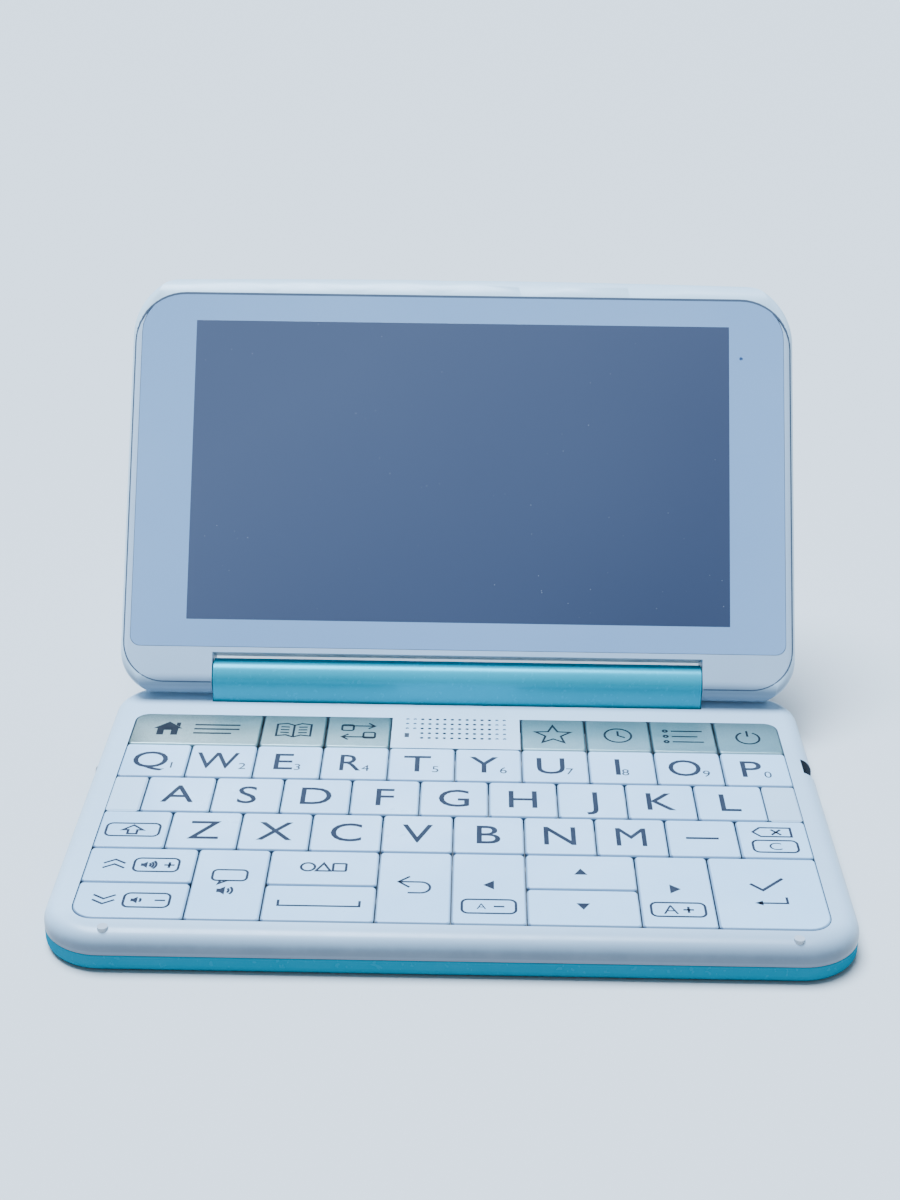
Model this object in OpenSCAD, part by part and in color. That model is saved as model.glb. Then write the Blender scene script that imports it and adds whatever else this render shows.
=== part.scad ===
// Folding electronic dictionary: a keyboard base and a display lid, joined by a barrel with two pivots.
// Lengths are in millimetres. The origin is on the table, under the middle of the open object.
// +X runs to the right, +Y to the hinge and +Z up. The lid stands open at its usual reading angle.

/* [Body] */
// Width of the base
body_w = 152.4; // [151.4:0.2:190]
// How much the lid is narrower than the base, at each side
lid_side_in = 0.6; // [0:0.1:1]
// Depth of each half, from the front edge to the back of the hinge
body_d = 96.9; // [96:0.1:125]
// Thickness of each half
half_t = 7.9; // [7.6:0.1:10]
// Space between the two halves when shut
shut_gap = 0.4; // [0.35:0.05:1]
// Corner radius in plan at the front of the base
free_r = 12; // [8:0.5:14]
// Corner radius in plan at the free end of the lid
lid_free_r = 15; // [12:0.5:16]
// Radius of the slight bow of the lid's free edge, in plan
lid_bow_r = 3500; // [2000:50:6000]
// Corner radius in plan at the hinge end
hinge_r = 10; // [7:0.5:12]
// Height of the lower case, up to the seam
seam_h = 3.5; // [3:0.1:3.6]
// Width of the seam between two case shells
seam = 0.12; // [0.08:0.02:0.2]
// Edge rounding along the top of the base
base_top_soft = 3.6; // [2:0.1:3.7]
// Edge rounding along the underside of the base
base_low_soft = 1.4; // [0.8:0.1:2.5]
// Edge rounding along the sides of the lid, screen side
lid_front_soft = 2.0; // [1.8:0.1:2.2]
// Edge rounding along the sides of the lid, back
lid_back_soft = 3.4; // [2:0.1:3.7]
// Rounding of the lid's free end, screen side
lid_end_front = 5.3; // [3.5:0.1:5.4]
// Rounding of the lid's free end, back
lid_end_back = 2.2; // [1:0.1:2.2]

/* [Hinge] */
// Angle of the lid, from shut
lid_open = 123.5; // [90:0.5:150]
// Length of the hinge barrel
barrel_len = 109; // [90:0.2:118]
// Gap between the barrel and the ears beside it
ear_gap = 0.25; // [0.2:0.05:0.6]
// Gap between the barrel and the base behind the keyboard
base_notch_gap = 0.45; // [0.35:0.05:1]
// Gap between the barrel and the lid below the screen
lid_notch_gap = 0.95; // [0.6:0.05:1.1]
// Diameter of the hinge shafts
shaft_d = 3.2; // [2.4:0.1:3.6]
// Running clearance of a shaft in its ear, on the radius
shaft_play = 0.05; // [0.02:0.01:0.09]
// Length of a shaft inside the ear
shaft_in_ear = 8; // [5:0.5:10]
// Length of a shaft inside the barrel
shaft_in_barrel = 10; // [6:0.5:14]

/* [Keyboard] */
// Width of one key pitch
key_u = 14.1; // [11.5:0.05:14.2]
// Depth of the function row
row_f = 13.4; // [11:0.05:14]
// Depth of each of the three letter rows
row_k = 13.45; // [11:0.05:13.8]
// Depth of the double row at the front
row_low = 23.5; // [19:0.1:25]
// Gap between neighbouring keys
key_gap = 0.3; // [0.25:0.05:0.6]
// How far the key tops stand above the case
key_proud = 0.2; // [0.1:0.05:0.25]
// Height of a key cap
cap_h = 1.6; // [1.4:0.1:1.8]
// Thickness of a key cap under its top face
cap_skin = 0.9; // [0.8:0.1:1.2]
// Width of the bevel around a key top
cap_bevel = 0.35; // [0.2:0.05:0.6]
// Depth of the bevel around a key top
cap_bevel_h = 0.3; // [0.2:0.05:0.5]
// Corner radius of a key
key_r = 0.8; // [0.5:0.1:1.5]
// Travel of a key
key_travel = 0.5; // [0.3:0.05:0.6]
// Corner radius of the keyboard recess at the rear
recess_rear_r = 3; // [2:0.5:4]
// Corner radius of the keyboard recess at the front
recess_front_r = 4.5; // [3:0.5:6]
// Width of the case in front of the keyboard
front_rim = 5.3; // [4.5:0.1:8]

/* [Speaker] */
// Columns of speaker holes, blind ones included
grille_cols = 14; // [8:1:15]
// Rows of speaker holes
grille_rows = 5; // [3:1:5]
// Spacing of the holes across
grille_dx = 1.635; // [1.5:0.005:1.75]
// Spacing of the holes front to back
grille_dy = 2.05; // [1.8:0.05:2.2]
// Distance from the back of the keyboard recess to the first row of holes
grille_back = 0.5; // [0.5:0.1:2]
// Diameter of a speaker hole
grille_d = 0.8; // [0.5:0.05:1]
// Columns at each side that are only dimples
grille_blind = 2; // [1:1:3]
// Thickness of the case over the speaker
bay_skin = 1.2; // [0.9:0.1:1.4]

/* [Display] */
// Width of the visible screen
screen_w = 121.8; // [110:0.1:124]
// Height of the visible screen
screen_h = 69.1; // [60:0.1:70]
// Width of the window over the display
mask_w = 146.5; // [140:0.1:146.8]
// Height of the window over the display
mask_h = 81.3; // [76:0.1:81.4]
// Thickness of the window
mask_t = 0.9; // [0.7:0.1:1.1]
// Distance from the hinge edge of the lid to the window
mask_from_hinge = 10.1; // [10.1:0.1:12]
// Distance from the window's lower edge to the screen
screen_from_mask = 6.1; // [5:0.1:8]
// Upper corner radius of the window
mask_free_r = 9; // [7:0.5:10]
// Lower corner radius of the window
mask_hinge_r = 2.3; // [1.5:0.1:4]
// Diameter of the microphone hole in the window
mic_d = 0.8; // [0.5:0.1:1.2]
// Thickness of the lid's front plate around the window
frame_t = 0.5; // [0.44:0.02:0.6]
// Width of the dark joint between the front plate and the lid's rim
rim_joint = 0.3; // [0.15:0.05:0.4]
// Depth of that joint below the front plate
rim_joint_deep = 0.4; // [0.2:0.05:0.6]
// Distance of the joint from the side of the lid
rim_in = 0.65; // [0.5:0.05:0.8]
// Distance of the front plate's lower end from the hinge edge of the lid
plate_from_hinge = 2.2; // [1.9:0.1:2.6]
// Thickness of the display module
panel_t = 2.4; // [1.6:0.1:3]

/* [Stylus] */
// Diameter of the stylus
stylus_d = 3.2; // [2.8:0.1:3.3]
// Length of the stylus
stylus_len = 80; // [60:1:82]
// Distance of the stylus from the side of the case
stylus_in = 3; // [2.95:0.05:3.1]
// Clearance around the stylus, on the radius
stylus_play = 0.25; // [0.2:0.05:0.35]
// Width of the finger notch beside the stylus
notch_w = 5.7; // [5:0.1:8]
// Distance from the back of the keyboard recess to the finger notch
notch_back = 15; // [10:0.5:20]

/* [Inside] */
// Thickness of the case walls and floor
wall = 1.1; // [0.9:0.1:1.3]
// Thickness of the circuit board
board_t = 0.8; // [0.6:0.1:1]
// Thickness of the rubber key mat
mat_t = 0.4; // [0.3:0.05:0.5]
// Height of a rubber dome on the mat
dome_h = 0.4; // [0.3:0.05:0.5]
// Width of the battery
battery_w = 62; // [40:0.5:80]
// Depth of the battery
battery_d = 44; // [30:0.5:50]
// Thickness of the battery
battery_t = 2.1; // [1.5:0.05:2.2]
// Diameter of the earphone socket in the left side
jack_d = 3.6; // [3.5:0.1:4]
// Width of the charging socket in the left side
port_w = 7.6; // [6:0.1:9]
// Height of the charging socket
port_h = 2.2; // [1.8:0.1:2.6]
// Depth of both sockets
socket_deep = 3; // [2:0.1:3.2]
// Width of the speaker
speaker_w = 22; // [12:0.5:24]
// Depth of the speaker
speaker_d = 9.6; // [8:0.1:10]

/* [Feet] */
// Height of the rubber feet below the case
foot_h = 0.3; // [0.2:0.05:0.35]
// Diameter of a foot
foot_d = 8; // [6:0.5:10]
// Depth to which a foot is let into the case
foot_set = 0.5; // [0.3:0.1:0.7]
// Distance of a foot from the side and the front of the case
foot_in = 13; // [11:0.5:16]
// Diameter of the lid bumpers on the front rim
bumper_d = 2; // [1.5:0.1:2.6]
// Distance of a lid bumper from the side of the case
bumper_in = 12.7; // [11:0.1:16]
// Height of a lid bumper above the case
bumper_h = 0.3; // [0.2:0.05:0.33]
// Diameter of the case screws' heads
screw_head_d = 4.2; // [3.6:0.1:5]
// Distance of a case screw from the side of the keyboard recess
screw_in = 7; // [5:0.5:12]

/* [Hidden] */
$fn = 64;
eps = 0.01;
over = 1;
fit = 0.1;
arc_steps = 5;

z_bot = foot_h;
z_top = z_bot + half_t;
z_seam = z_bot + seam_h;
open_depth = body_d - (body_d - half_t) * cos(lid_open);
y_front = -open_depth / 2;
y_back = y_front + body_d;
axis_y = y_back - half_t / 2;
axis_z = z_bot + half_t / 2;
axis_step = half_t + shut_gap;
ear_x = barrel_len / 2 + ear_gap;
shaft_r = shaft_d / 2;

recess_w = 10 * key_u;
recess_d = row_f + 3 * row_k + row_low;
recess_front = y_front + front_rim;
recess_back = recess_front + recess_d;

z_board = z_seam + fit;
z_mat = z_board + board_t;
z_dome = z_mat + mat_t;
z_cap_top = z_top + key_proud;
z_cap = z_cap_top - cap_h;
z_stem = z_dome + dome_h + key_travel + 0.05;
stem_r = 1.4;
dome_r = 2.5;
ledge_t = 0.8;

bay_from = 4;
bay_to = 6;
bay_x0 = (bay_from - 5) * key_u;
bay_x1 = (bay_to - 5) * key_u;
half_key_w = key_u / 2;

stylus_r = stylus_d / 2;
channel_r = stylus_r + stylus_play;
stylus_x = body_w / 2 - stylus_in;
stylus_back = y_back - 3.6;
stylus_front = stylus_back - stylus_len;
notch_y1 = recess_back - notch_back;
notch_y0 = notch_y1 - notch_w;

boss_h = shaft_r + 1.1;
boss_len = shaft_in_ear + 1;

frame_z = -half_t / 2 + frame_t;
mask_y1 = half_t / 2 - mask_from_hinge;
mask_y0 = mask_y1 - mask_h;
screen_y1 = mask_y1 - screen_from_mask;
screen_y0 = screen_y1 - screen_h;
lid_w = body_w - 2 * lid_side_in;
tray_side = 0.9;
tray_hinge = 0.3;
tray_t = 1.3;
panel_edge = 2.2;
lid_cavity_z = half_t / 2 - wall - 0.2;

// Rows are counted from the back: 0 holds the functions, 1 to 3 the letters, 4 the double row.
WHOLE = 0;
UPPER = 1;
LOWER = 2;
row_top = [for (i = [0:4]) recess_back - (i > 0 ? row_f + (i - 1) * row_k : 0)];
row_deep = [row_f, row_k, row_k, row_k, row_low];

// Each key: name, row, first column in pitches, width in pitches, share of its row
FUNCTION_KEYS = [
    ["key_home", 0, 0, 2, WHOLE],
    ["key_dictionary", 0, 2, 1, WHOLE],
    ["key_translate", 0, 3, 1, WHOLE],
    ["key_favourites", 0, 6, 1, WHOLE],
    ["key_history", 0, 7, 1, WHOLE],
    ["key_contents", 0, 8, 1, WHOLE],
    ["key_power", 0, 9, 1, WHOLE]
];
TOP_LETTERS = "qwertyuiop";
MIDDLE_LETTERS = "asdfghjkl";
LOW_LETTERS = "zxcvbnm";
LETTER_KEYS = concat(
    [for (i = [0:9]) [str("key_", TOP_LETTERS[i]), 1, i, 1, WHOLE]],
    [for (i = [0:8]) [str("key_", MIDDLE_LETTERS[i]), 2, i + 0.5, 1, WHOLE]],
    [["key_shift", 3, 0, 1, WHOLE]],
    [for (i = [0:6]) [str("key_", LOW_LETTERS[i]), 3, i + 1, 1, WHOLE]],
    [["key_dash", 3, 8, 1, WHOLE], ["key_delete", 3, 9, 1, WHOLE]]
);
CONTROL_KEYS = [
    ["key_page_up", 4, 0, 1.5, UPPER],
    ["key_page_down", 4, 0, 1.5, LOWER],
    ["key_voice", 4, 1.5, 1, WHOLE],
    ["key_symbol", 4, 2.5, 1.5, UPPER],
    ["key_space", 4, 2.5, 1.5, LOWER],
    ["key_back", 4, 4, 1, WHOLE],
    ["key_left", 4, 5, 1, WHOLE],
    ["key_up", 4, 6, 1.5, UPPER],
    ["key_down", 4, 6, 1.5, LOWER],
    ["key_right", 4, 7.5, 1, WHOLE],
    ["key_enter", 4, 8.5, 1.5, WHOLE]
];
KEYS = concat(FUNCTION_KEYS, LETTER_KEYS, CONTROL_KEYS);

// Edges of a key, as [left, front, right, back]
function key_box(k) =
    let (
        half = row_deep[k[1]] / 2,
        back = row_top[k[1]] - (k[4] == LOWER ? half : 0),
        deep = k[4] == WHOLE ? row_deep[k[1]] : half,
        g = key_gap / 2
    )
    [(k[2] - 5) * key_u + g, back - deep + g, (k[2] + k[3] - 5) * key_u - g, back - g];

// Corner radii of a key, as [front left, front right, back right, back left]: the recess's own at its corners
function key_radii(k) =
    let (
        left = k[2] == 0,
        right = k[2] + k[3] == 10,
        front = k[1] == 4 && k[4] != UPPER,
        back = k[1] == 0,
        g = key_gap / 2
    )
    [
        left && front ? recess_front_r - g : key_r,
        right && front ? recess_front_r - g : key_r,
        right && back ? recess_rear_r - g : key_r,
        left && back ? recess_rear_r - g : key_r
    ];

function corner(x, y, r, from, steps) =
    [for (i = [0:steps]) let (a = from + 90 * i / steps) [x + r * cos(a), y + r * sin(a)]];

// Outline of a box [left, front, right, back] with its own radius at each corner
function rounded(b, r, steps = arc_steps) = concat(
    corner(b[0] + r[0], b[1] + r[0], r[0], 180, steps),
    corner(b[2] - r[1], b[1] + r[1], r[1], 270, steps),
    corner(b[2] - r[2], b[3] - r[2], r[2], 0, steps),
    corner(b[0] + r[3], b[3] - r[3], r[3], 90, steps)
);

function grown(b, by) = [b[0] - by, b[1] - by, b[2] + by, b[3] + by];

module prism(outline, z0, z1) {
    translate([0, 0, z0])
        linear_extrude(z1 - z0)
            polygon(outline);
}

module along_x(x0, x1) {
    translate([x0, 0, 0])
        rotate([90, 0, 90])
            linear_extrude(x1 - x0)
                children();
}

module rod(x0, x1, r) {
    translate([x0, 0, 0])
        rotate([0, 90, 0])
            cylinder(h = x1 - x0, r = r);
}

// Section through a slab's edge: flat on the left, rounded low and high on the right
module edge_section(deep, low, high) {
    square([deep - max(low, high), half_t]);
    translate([0, low])
        square([deep, half_t - low - high]);
    square([deep - low, low + eps]);
    translate([0, half_t - high - eps])
        square([deep - high, high + eps]);
    intersection() {
        union() {
            translate([deep - low, low])
                circle(low, $fn = 64);
            translate([deep - high, half_t - high])
                circle(high, $fn = 64);
        }
        square([deep, half_t]);
    }
}

module edge_corner(x, y, r, turn, low, high) {
    translate([x, y, 0])
        rotate([0, 0, turn])
            rotate_extrude(angle = 90)
                edge_section(r, low, high);
}

// A slab with its bottom at zero, rounded in plan and along every edge
module slab(wide, y0, y1, front_r, back_r, low, high) {
    x = wide / 2;
    r = max(front_r, back_r);
    edge_corner(-x + front_r, y0 + front_r, front_r, 180, low, high);
    edge_corner(x - front_r, y0 + front_r, front_r, 270, low, high);
    edge_corner(x - back_r, y1 - back_r, back_r, 0, low, high);
    edge_corner(-x + back_r, y1 - back_r, back_r, 90, low, high);
    for (side = [-1, 1])
        translate([side * (x - r), side > 0 ? y0 + front_r : y1 - back_r, 0])
            rotate([90, 0, side > 0 ? 0 : 180])
                mirror([0, 0, 1])
                    linear_extrude(y1 - y0 - front_r - back_r)
                        edge_section(r, low, high);
    translate([x - front_r, y0 + front_r, 0])
        rotate([90, 0, -90])
            linear_extrude(2 * (x - front_r))
                edge_section(front_r, low, high);
    translate([-x + back_r, y1 - back_r, 0])
        rotate([90, 0, 90])
            linear_extrude(2 * (x - back_r))
                edge_section(back_r, low, high);
    translate([-x + r, y0 + front_r, 0])
        cube([2 * (x - r), y1 - y0 - front_r - back_r, half_t]);
}

// Side view of a half, with its hinge end rounded over the full thickness
module side_view(hinge_y, free_y) {
    r = half_t / 2;
    translate([hinge_y - r, r])
        circle(r);
    translate([free_y - over, 0])
        square([hinge_y - r - free_y + over, half_t]);
}

// The lid's free end: its rounded edge drawn along a very wide arc in plan
module free_end(free_y) {
    deep = body_d + 2 * over;
    half_turn = asin((body_w / 2 + 5) / (lid_bow_r - deep));
    translate([0, free_y + lid_bow_r, 0])
        rotate([0, 0, 270 - half_turn])
            rotate_extrude(angle = 2 * half_turn, $fn = 1440)
                translate([lid_bow_r - deep, 0])
                    edge_section(deep, lid_end_front, lid_end_back);
}

spare = 0.6;

module base_form() {
    translate([0, 0, z_bot])
        intersection() {
            slab(body_w, y_front, y_back + spare, free_r, hinge_r, base_low_soft, base_top_soft);
            along_x(-body_w, body_w)
                side_view(y_back, y_front);
        }
}

// The lid lies shut here, with its hinge axis on the X axis and its screen down
module lid_form() {
    hinge_y = half_t / 2;
    free_y = hinge_y - body_d;
    translate([0, 0, -half_t / 2])
        intersection() {
            slab(lid_w, free_y - eps, hinge_y + spare, lid_free_r, hinge_r, lid_front_soft, lid_back_soft);
            along_x(-body_w, body_w)
                side_view(hinge_y, free_y);
            free_end(free_y);
        }
}

module lid_place() {
    translate([0, axis_y, axis_z + axis_step])
        rotate([-lid_open, 0, 0])
            children();
}

module barrel_notch(back_y, deep, z0, z1) {
    translate([-ear_x, back_y - deep, z0])
        cube([2 * ear_x, deep + over, z1 - z0]);
}

recess_box = [-recess_w / 2, recess_front, recess_w / 2, recess_back];
recess_radii = [recess_front_r, recess_front_r, recess_rear_r, recess_rear_r];

module stylus_channel() {
    translate([stylus_x, stylus_front - 0.5, axis_z])
        rotate([-90, 0, 0])
            cylinder(h = stylus_len + 20, r = channel_r);
}

module sockets() {
    translate([-body_w / 2 - over, y_back - 34, axis_z])
        rotate([0, 90, 0])
            cylinder(h = socket_deep + over, r = jack_d / 2);
    translate([-body_w / 2 - over, y_back - 50 - port_w / 2, axis_z])
        rotate([90, 0, 90])
            linear_extrude(socket_deep + over)
                polygon(rounded([0, -port_h / 2, port_w, port_h / 2], [0.9, 0.9, 0.4, 0.4]));
}

module finger_notch() {
    translate([stylus_x + 0.3, notch_y0, z_seam + 0.4])
        cube([10, notch_w, half_t]);
}

module hinge_boss(grow) {
    for (side = [-1, 1])
        translate([side > 0 ? ear_x : -ear_x - boss_len, axis_y - boss_h, 0])
            translate([side > 0 ? 0 : -grow, -grow, z_seam - 0.5])
                cube([boss_len + grow, 2 * (boss_h + grow), axis_z + boss_h + grow - z_seam + 0.5]);
}

module shaft_bores() {
    for (side = [-1, 1])
        rod(side > 0 ? ear_x - over : -ear_x - shaft_in_ear - 0.3,
            side > 0 ? ear_x + shaft_in_ear + 0.3 : -ear_x + over, shaft_r + shaft_play);
}

module grille_hole(i, j) {
    blind = i < grille_blind || i >= grille_cols - grille_blind;
    row_y = recess_back - grille_back - (grille_rows - 1 - j) * grille_dy;
    deep = blind ? 0.3 : bay_skin + over;
    translate([(i - (grille_cols - 1) / 2) * grille_dx, row_y, z_top - deep])
        cylinder(h = deep + over, r = grille_d / 2, $fn = blind ? 12 : 24);
}

// A small light window takes the place of the blind holes at the front left of the grille
module grille() {
    for (i = [0:grille_cols - 1])
        for (j = [0:grille_rows - 1])
            if (!(i < grille_blind && j < 2))
                grille_hole(i, j);
    translate([-grille_dx * (grille_cols - 1) / 2 - 0.5, recess_back - grille_back - 3.9 * grille_dy, z_top - 0.4])
        cube([1, 1.8, over]);
}

module blank_half_key(side) {
    g = key_gap / 2;
    x0 = side < 0 ? -recess_w / 2 + g : recess_w / 2 - half_key_w + g;
    box = [x0, row_top[3] + g, x0 + half_key_w - key_gap, row_top[2] - g];
    cap_body(box, [key_r, key_r, key_r, key_r], z_cap_top, z_cap);
    translate([side < 0 ? -recess_w / 2 - g : box[0], box[1], z_cap - ledge_t])
        cube([half_key_w, box[3] - box[1], ledge_t + eps]);
}

module base_top_case() {
    color("ghostwhite")
        difference() {
            union() {
                difference() {
                    base_form();
                    prism(rounded(recess_box, recess_radii, 8), z_bot - over, z_top + over);
                }
                translate([bay_x0 + key_gap / 2, recess_back - row_f + key_gap, z_top - bay_skin])
                    cube([bay_x1 - bay_x0 - key_gap, row_f - key_gap + eps, bay_skin]);
                for (side = [-1, 1])
                    blank_half_key(side);
            }
            translate([-body_w, -body_d, -over])
                cube([2 * body_w, 2 * body_d, z_seam + seam + over]);
            barrel_notch(y_back, half_t + base_notch_gap, 0, z_top + over);
            hinge_boss(fit);
            stylus_channel();
            sockets();
            finger_notch();
            grille();
            for (side = [-1, 1])
                translate([side * (body_w / 2 - bumper_in), y_front + front_rim / 2, z_top - 0.5])
                    cylinder(h = 1, r = bumper_d / 2);
        }
}

post_places = [for (sx = [-1, 1]) for (sy = [0.28, 0.74])
    [sx * (recess_w / 2 - screw_in), recess_front + sy * recess_d]];

module base_bottom_case() {
    color("turquoise")
        difference() {
            union() {
                intersection() {
                    base_form();
                    translate([-body_w, -body_d, 0])
                        cube([2 * body_w, 2 * body_d, z_seam]);
                }
                hinge_boss(0);
            }
            difference() {
                prism(rounded(grown(recess_box, -0.5), recess_radii, 8), z_bot + wall, z_top);
                for (p = post_places)
                    translate([p[0], p[1], 0])
                        cylinder(h = z_board, r = screw_head_d / 2 + 1);
            }
            translate([-body_w, -body_d, axis_z + boss_h])
                cube([2 * body_w, 2 * body_d, half_t]);
            barrel_notch(y_back, half_t + base_notch_gap, -over, z_top + over);
            translate([0, axis_y, axis_z])
                shaft_bores();
            stylus_channel();
            sockets();
            for (p = foot_places())
                translate([p[0], p[1], z_bot - over])
                    cylinder(h = over + foot_set, r = foot_d / 2 + 0.05);
            for (p = post_places)
                translate([p[0], p[1], z_bot - over]) {
                    cylinder(h = over + 1, r = screw_head_d / 2);
                    cylinder(h = half_t, r = screw_head_d / 4);
                }
        }
}

function foot_places() = [for (sx = [-1, 1]) for (y = [y_front + foot_in, y_back - foot_in - 6])
    [sx * (body_w / 2 - foot_in), y]];

module rubber_pads() {
    color("lightgray") {
        for (p = foot_places())
            translate([p[0], p[1], 0])
                cylinder(h = z_bot + foot_set, r = foot_d / 2);
        for (side = [-1, 1])
            translate([side * (body_w / 2 - bumper_in), y_front + front_rim / 2, z_top - 0.5])
                cylinder(h = 0.5 + bumper_h, r = bumper_d / 2 - 0.02);
    }
}

// Stems under a key: one for a short key, two for a wide or deep one
function stem_places(b) =
    let (
        cx = (b[0] + b[2]) / 2,
        cy = (b[1] + b[3]) / 2,
        wide = b[2] - b[0] > 1.3 * key_u,
        deep = b[3] - b[1] > 1.3 * row_k
    )
    wide && deep ? [for (sx = [-1, 1]) for (sy = [-1, 1]) [cx + sx * key_u / 2, cy + sy * row_low / 4]]
    : wide ? [for (sx = [-1, 1]) [cx + sx * key_u / 2, cy]]
    : deep ? [for (sy = [-1, 1]) [cx, cy + sy * row_low / 4]]
    : [[cx, cy]];

// A cap with a bevel around its top: plan, front view and side view cut from one another
module cap_body(b, radii, top, bottom) {
    intersection() {
        prism(rounded(b, radii), bottom, top);
        translate([0, b[3] + over, 0])
            rotate([90, 0, 0])
                linear_extrude(b[3] - b[1] + 2 * over)
                    bevel_view(b[0], b[2], bottom, top);
        along_x(b[0] - over, b[2] + over)
            bevel_view(b[1], b[3], bottom, top);
    }
}

module bevel_view(a0, a1, bottom, top) {
    polygon([
        [a0, bottom - over], [a1, bottom - over], [a1, top - cap_bevel_h],
        [a1 - cap_bevel, top], [a0 + cap_bevel, top], [a0, top - cap_bevel_h]
    ]);
}

module keycap(k) {
    b = key_box(k);
    radii = key_radii(k);
    skirt = 0.8;
    inner = [for (r = radii) max(r - skirt, 0.3)];
    color(k[1] == 0 ? "honeydew" : "aliceblue") {
        difference() {
            cap_body(b, radii, z_cap_top, z_cap);
            prism(rounded(grown(b, -skirt), inner), z_cap - over, z_cap_top - cap_skin);
        }
        for (p = stem_places(b))
            translate([p[0], p[1], z_stem])
                cylinder(h = z_cap_top - cap_skin - z_stem + eps, r = stem_r, $fn = 12);
    }
}

board_gap = 0.4;
speaker_box = [-speaker_w / 2, recess_back - board_gap - speaker_d, speaker_w / 2, recess_back - board_gap];

module key_mat() {
    color("whitesmoke") {
        difference() {
            prism(rounded(grown(recess_box, -board_gap), recess_radii), z_mat, z_dome);
            prism(rounded(grown(speaker_box, 0.3), [1, 1, 1, 1]), z_mat - over, z_dome + over);
        }
        for (k = KEYS)
            for (p = stem_places(key_box(k)))
                translate([p[0], p[1], z_dome - eps])
                    cylinder(h = dome_h + eps, r = dome_r, $fn = 12);
    }
}

module main_board() {
    color("seagreen") {
        difference() {
            prism(rounded(grown(recess_box, -board_gap), recess_radii), z_board, z_mat);
            for (p = post_places)
                translate([p[0], p[1], z_board - over])
                    cylinder(h = board_t + 2 * over, r = screw_head_d / 4 + 0.1);
        }
        prism(rounded(speaker_box, [1, 1, 1, 1]), z_mat + 0.05, z_top - bay_skin - fit);
    }
}

module battery() {
    z0 = z_bot + wall + fit;
    box = [-battery_w / 2 - 10, recess_front + 14, battery_w / 2 - 10, recess_front + 14 + battery_d];
    color("silver")
        prism(rounded(box, [2, 2, 2, 2]), z0, z0 + battery_t);
}

module stylus() {
    color("dimgray")
        translate([stylus_x, stylus_back, axis_z])
            rotate([90, 0, 0])
                rotate_extrude()
                    difference() {
                        polygon([
                            [0, 0], [stylus_r - 0.5, 0], [stylus_r, 0.5], [stylus_r, stylus_len - 7],
                            [0.6, stylus_len - 0.4], [0.4, stylus_len], [0, stylus_len]
                        ]);
                        translate([stylus_r, stylus_back - notch_y0 - notch_w / 2])
                            circle(0.4, $fn = 24);
                    }
}

module hinge_barrel() {
    r = half_t / 2;
    color("turquoise")
        translate([0, axis_y, axis_z])
            difference() {
                along_x(-barrel_len / 2, barrel_len / 2) {
                    circle(r);
                    translate([0, axis_step])
                        circle(r);
                    translate([-r, 0])
                        square([2 * r, axis_step]);
                }
                for (side = [-1, 1])
                    for (z = [0, axis_step])
                        translate([0, 0, z])
                            rod(side > 0 ? barrel_len / 2 - shaft_in_barrel - 0.2 : -barrel_len / 2 - over,
                                side > 0 ? barrel_len / 2 + over : -barrel_len / 2 + shaft_in_barrel + 0.2,
                                shaft_r + 0.02);
            }
}

module hinge_shafts() {
    color("silver")
        translate([0, axis_y, axis_z])
            for (side = [-1, 1])
                for (z = [0, axis_step])
                    translate([0, 0, z])
                        rod(side > 0 ? barrel_len / 2 - shaft_in_barrel : -ear_x - shaft_in_ear,
                            side > 0 ? ear_x + shaft_in_ear : -barrel_len / 2 + shaft_in_barrel, shaft_r);
}

mask_box = [-mask_w / 2, mask_y0, mask_w / 2, mask_y1];
mask_radii = [mask_free_r, mask_free_r, mask_hinge_r, mask_hinge_r];
tray_box = [mask_box[0] - tray_side, mask_box[1] - tray_side, mask_box[2] + tray_side, mask_box[3] + tray_hinge];
panel_box = [-screen_w / 2 - panel_edge, screen_y0 - panel_edge, screen_w / 2 + panel_edge, screen_y1 + panel_edge];

// The front plate ends under the window at its upper edge, so that there the joint borders the window
joint_x = lid_w / 2 - rim_in;
plate_y1 = half_t / 2 - plate_from_hinge;
plate_x = joint_x - rim_joint;
plate_free_r = mask_free_r + 2.2;
plate_hinge_r = hinge_r - 1;
plate_box = [-plate_x, mask_y0 + 0.3, plate_x, plate_y1];
plate_radii = [plate_free_r, plate_free_r, plate_hinge_r, plate_hinge_r];
joint_box = [-joint_x, mask_y0 - rim_joint - 0.05, joint_x, plate_y1 + rim_joint / 2];
joint_radii = [plate_free_r + 0.3, plate_free_r + 0.3, plate_hinge_r + 0.3, plate_hinge_r + 0.3];

module lid_front_frame() {
    color("ghostwhite")
        lid_place()
            difference() {
                union() {
                    intersection() {
                        lid_form();
                        prism(rounded(plate_box, plate_radii, 8), frame_z - frame_t - over, frame_z);
                    }
                    prism(rounded(tray_box, mask_radii, 8), frame_z - eps, frame_z + tray_t);
                }
                prism(rounded(grown(mask_box, 0.1), mask_radii, 8), frame_z - frame_t - over,
                      frame_z - frame_t + mask_t + 0.02);
                prism(rounded(grown(panel_box, 0.2), [1, 1, 1, 1]), frame_z - over, frame_z + tray_t + over);
                barrel_notch(half_t / 2, half_t + lid_notch_gap, -half_t, half_t);
            }
}

module lid_back_cover() {
    color("ghostwhite")
        lid_place()
            difference() {
                lid_form();
                prism(rounded(joint_box, joint_radii, 8), frame_z - frame_t - over, frame_z + seam);
                difference() {
                    prism(rounded(joint_box, joint_radii, 8), frame_z, frame_z + rim_joint_deep);
                    prism(rounded(grown(plate_box, -0.2), plate_radii, 8), frame_z - over, frame_z + over);
                }
                prism(rounded(grown(tray_box, fit), mask_radii, 8), frame_z - 0.06, lid_cavity_z);
                barrel_notch(half_t / 2, half_t + lid_notch_gap, -half_t, half_t);
                shaft_bores();
            }
}

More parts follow.
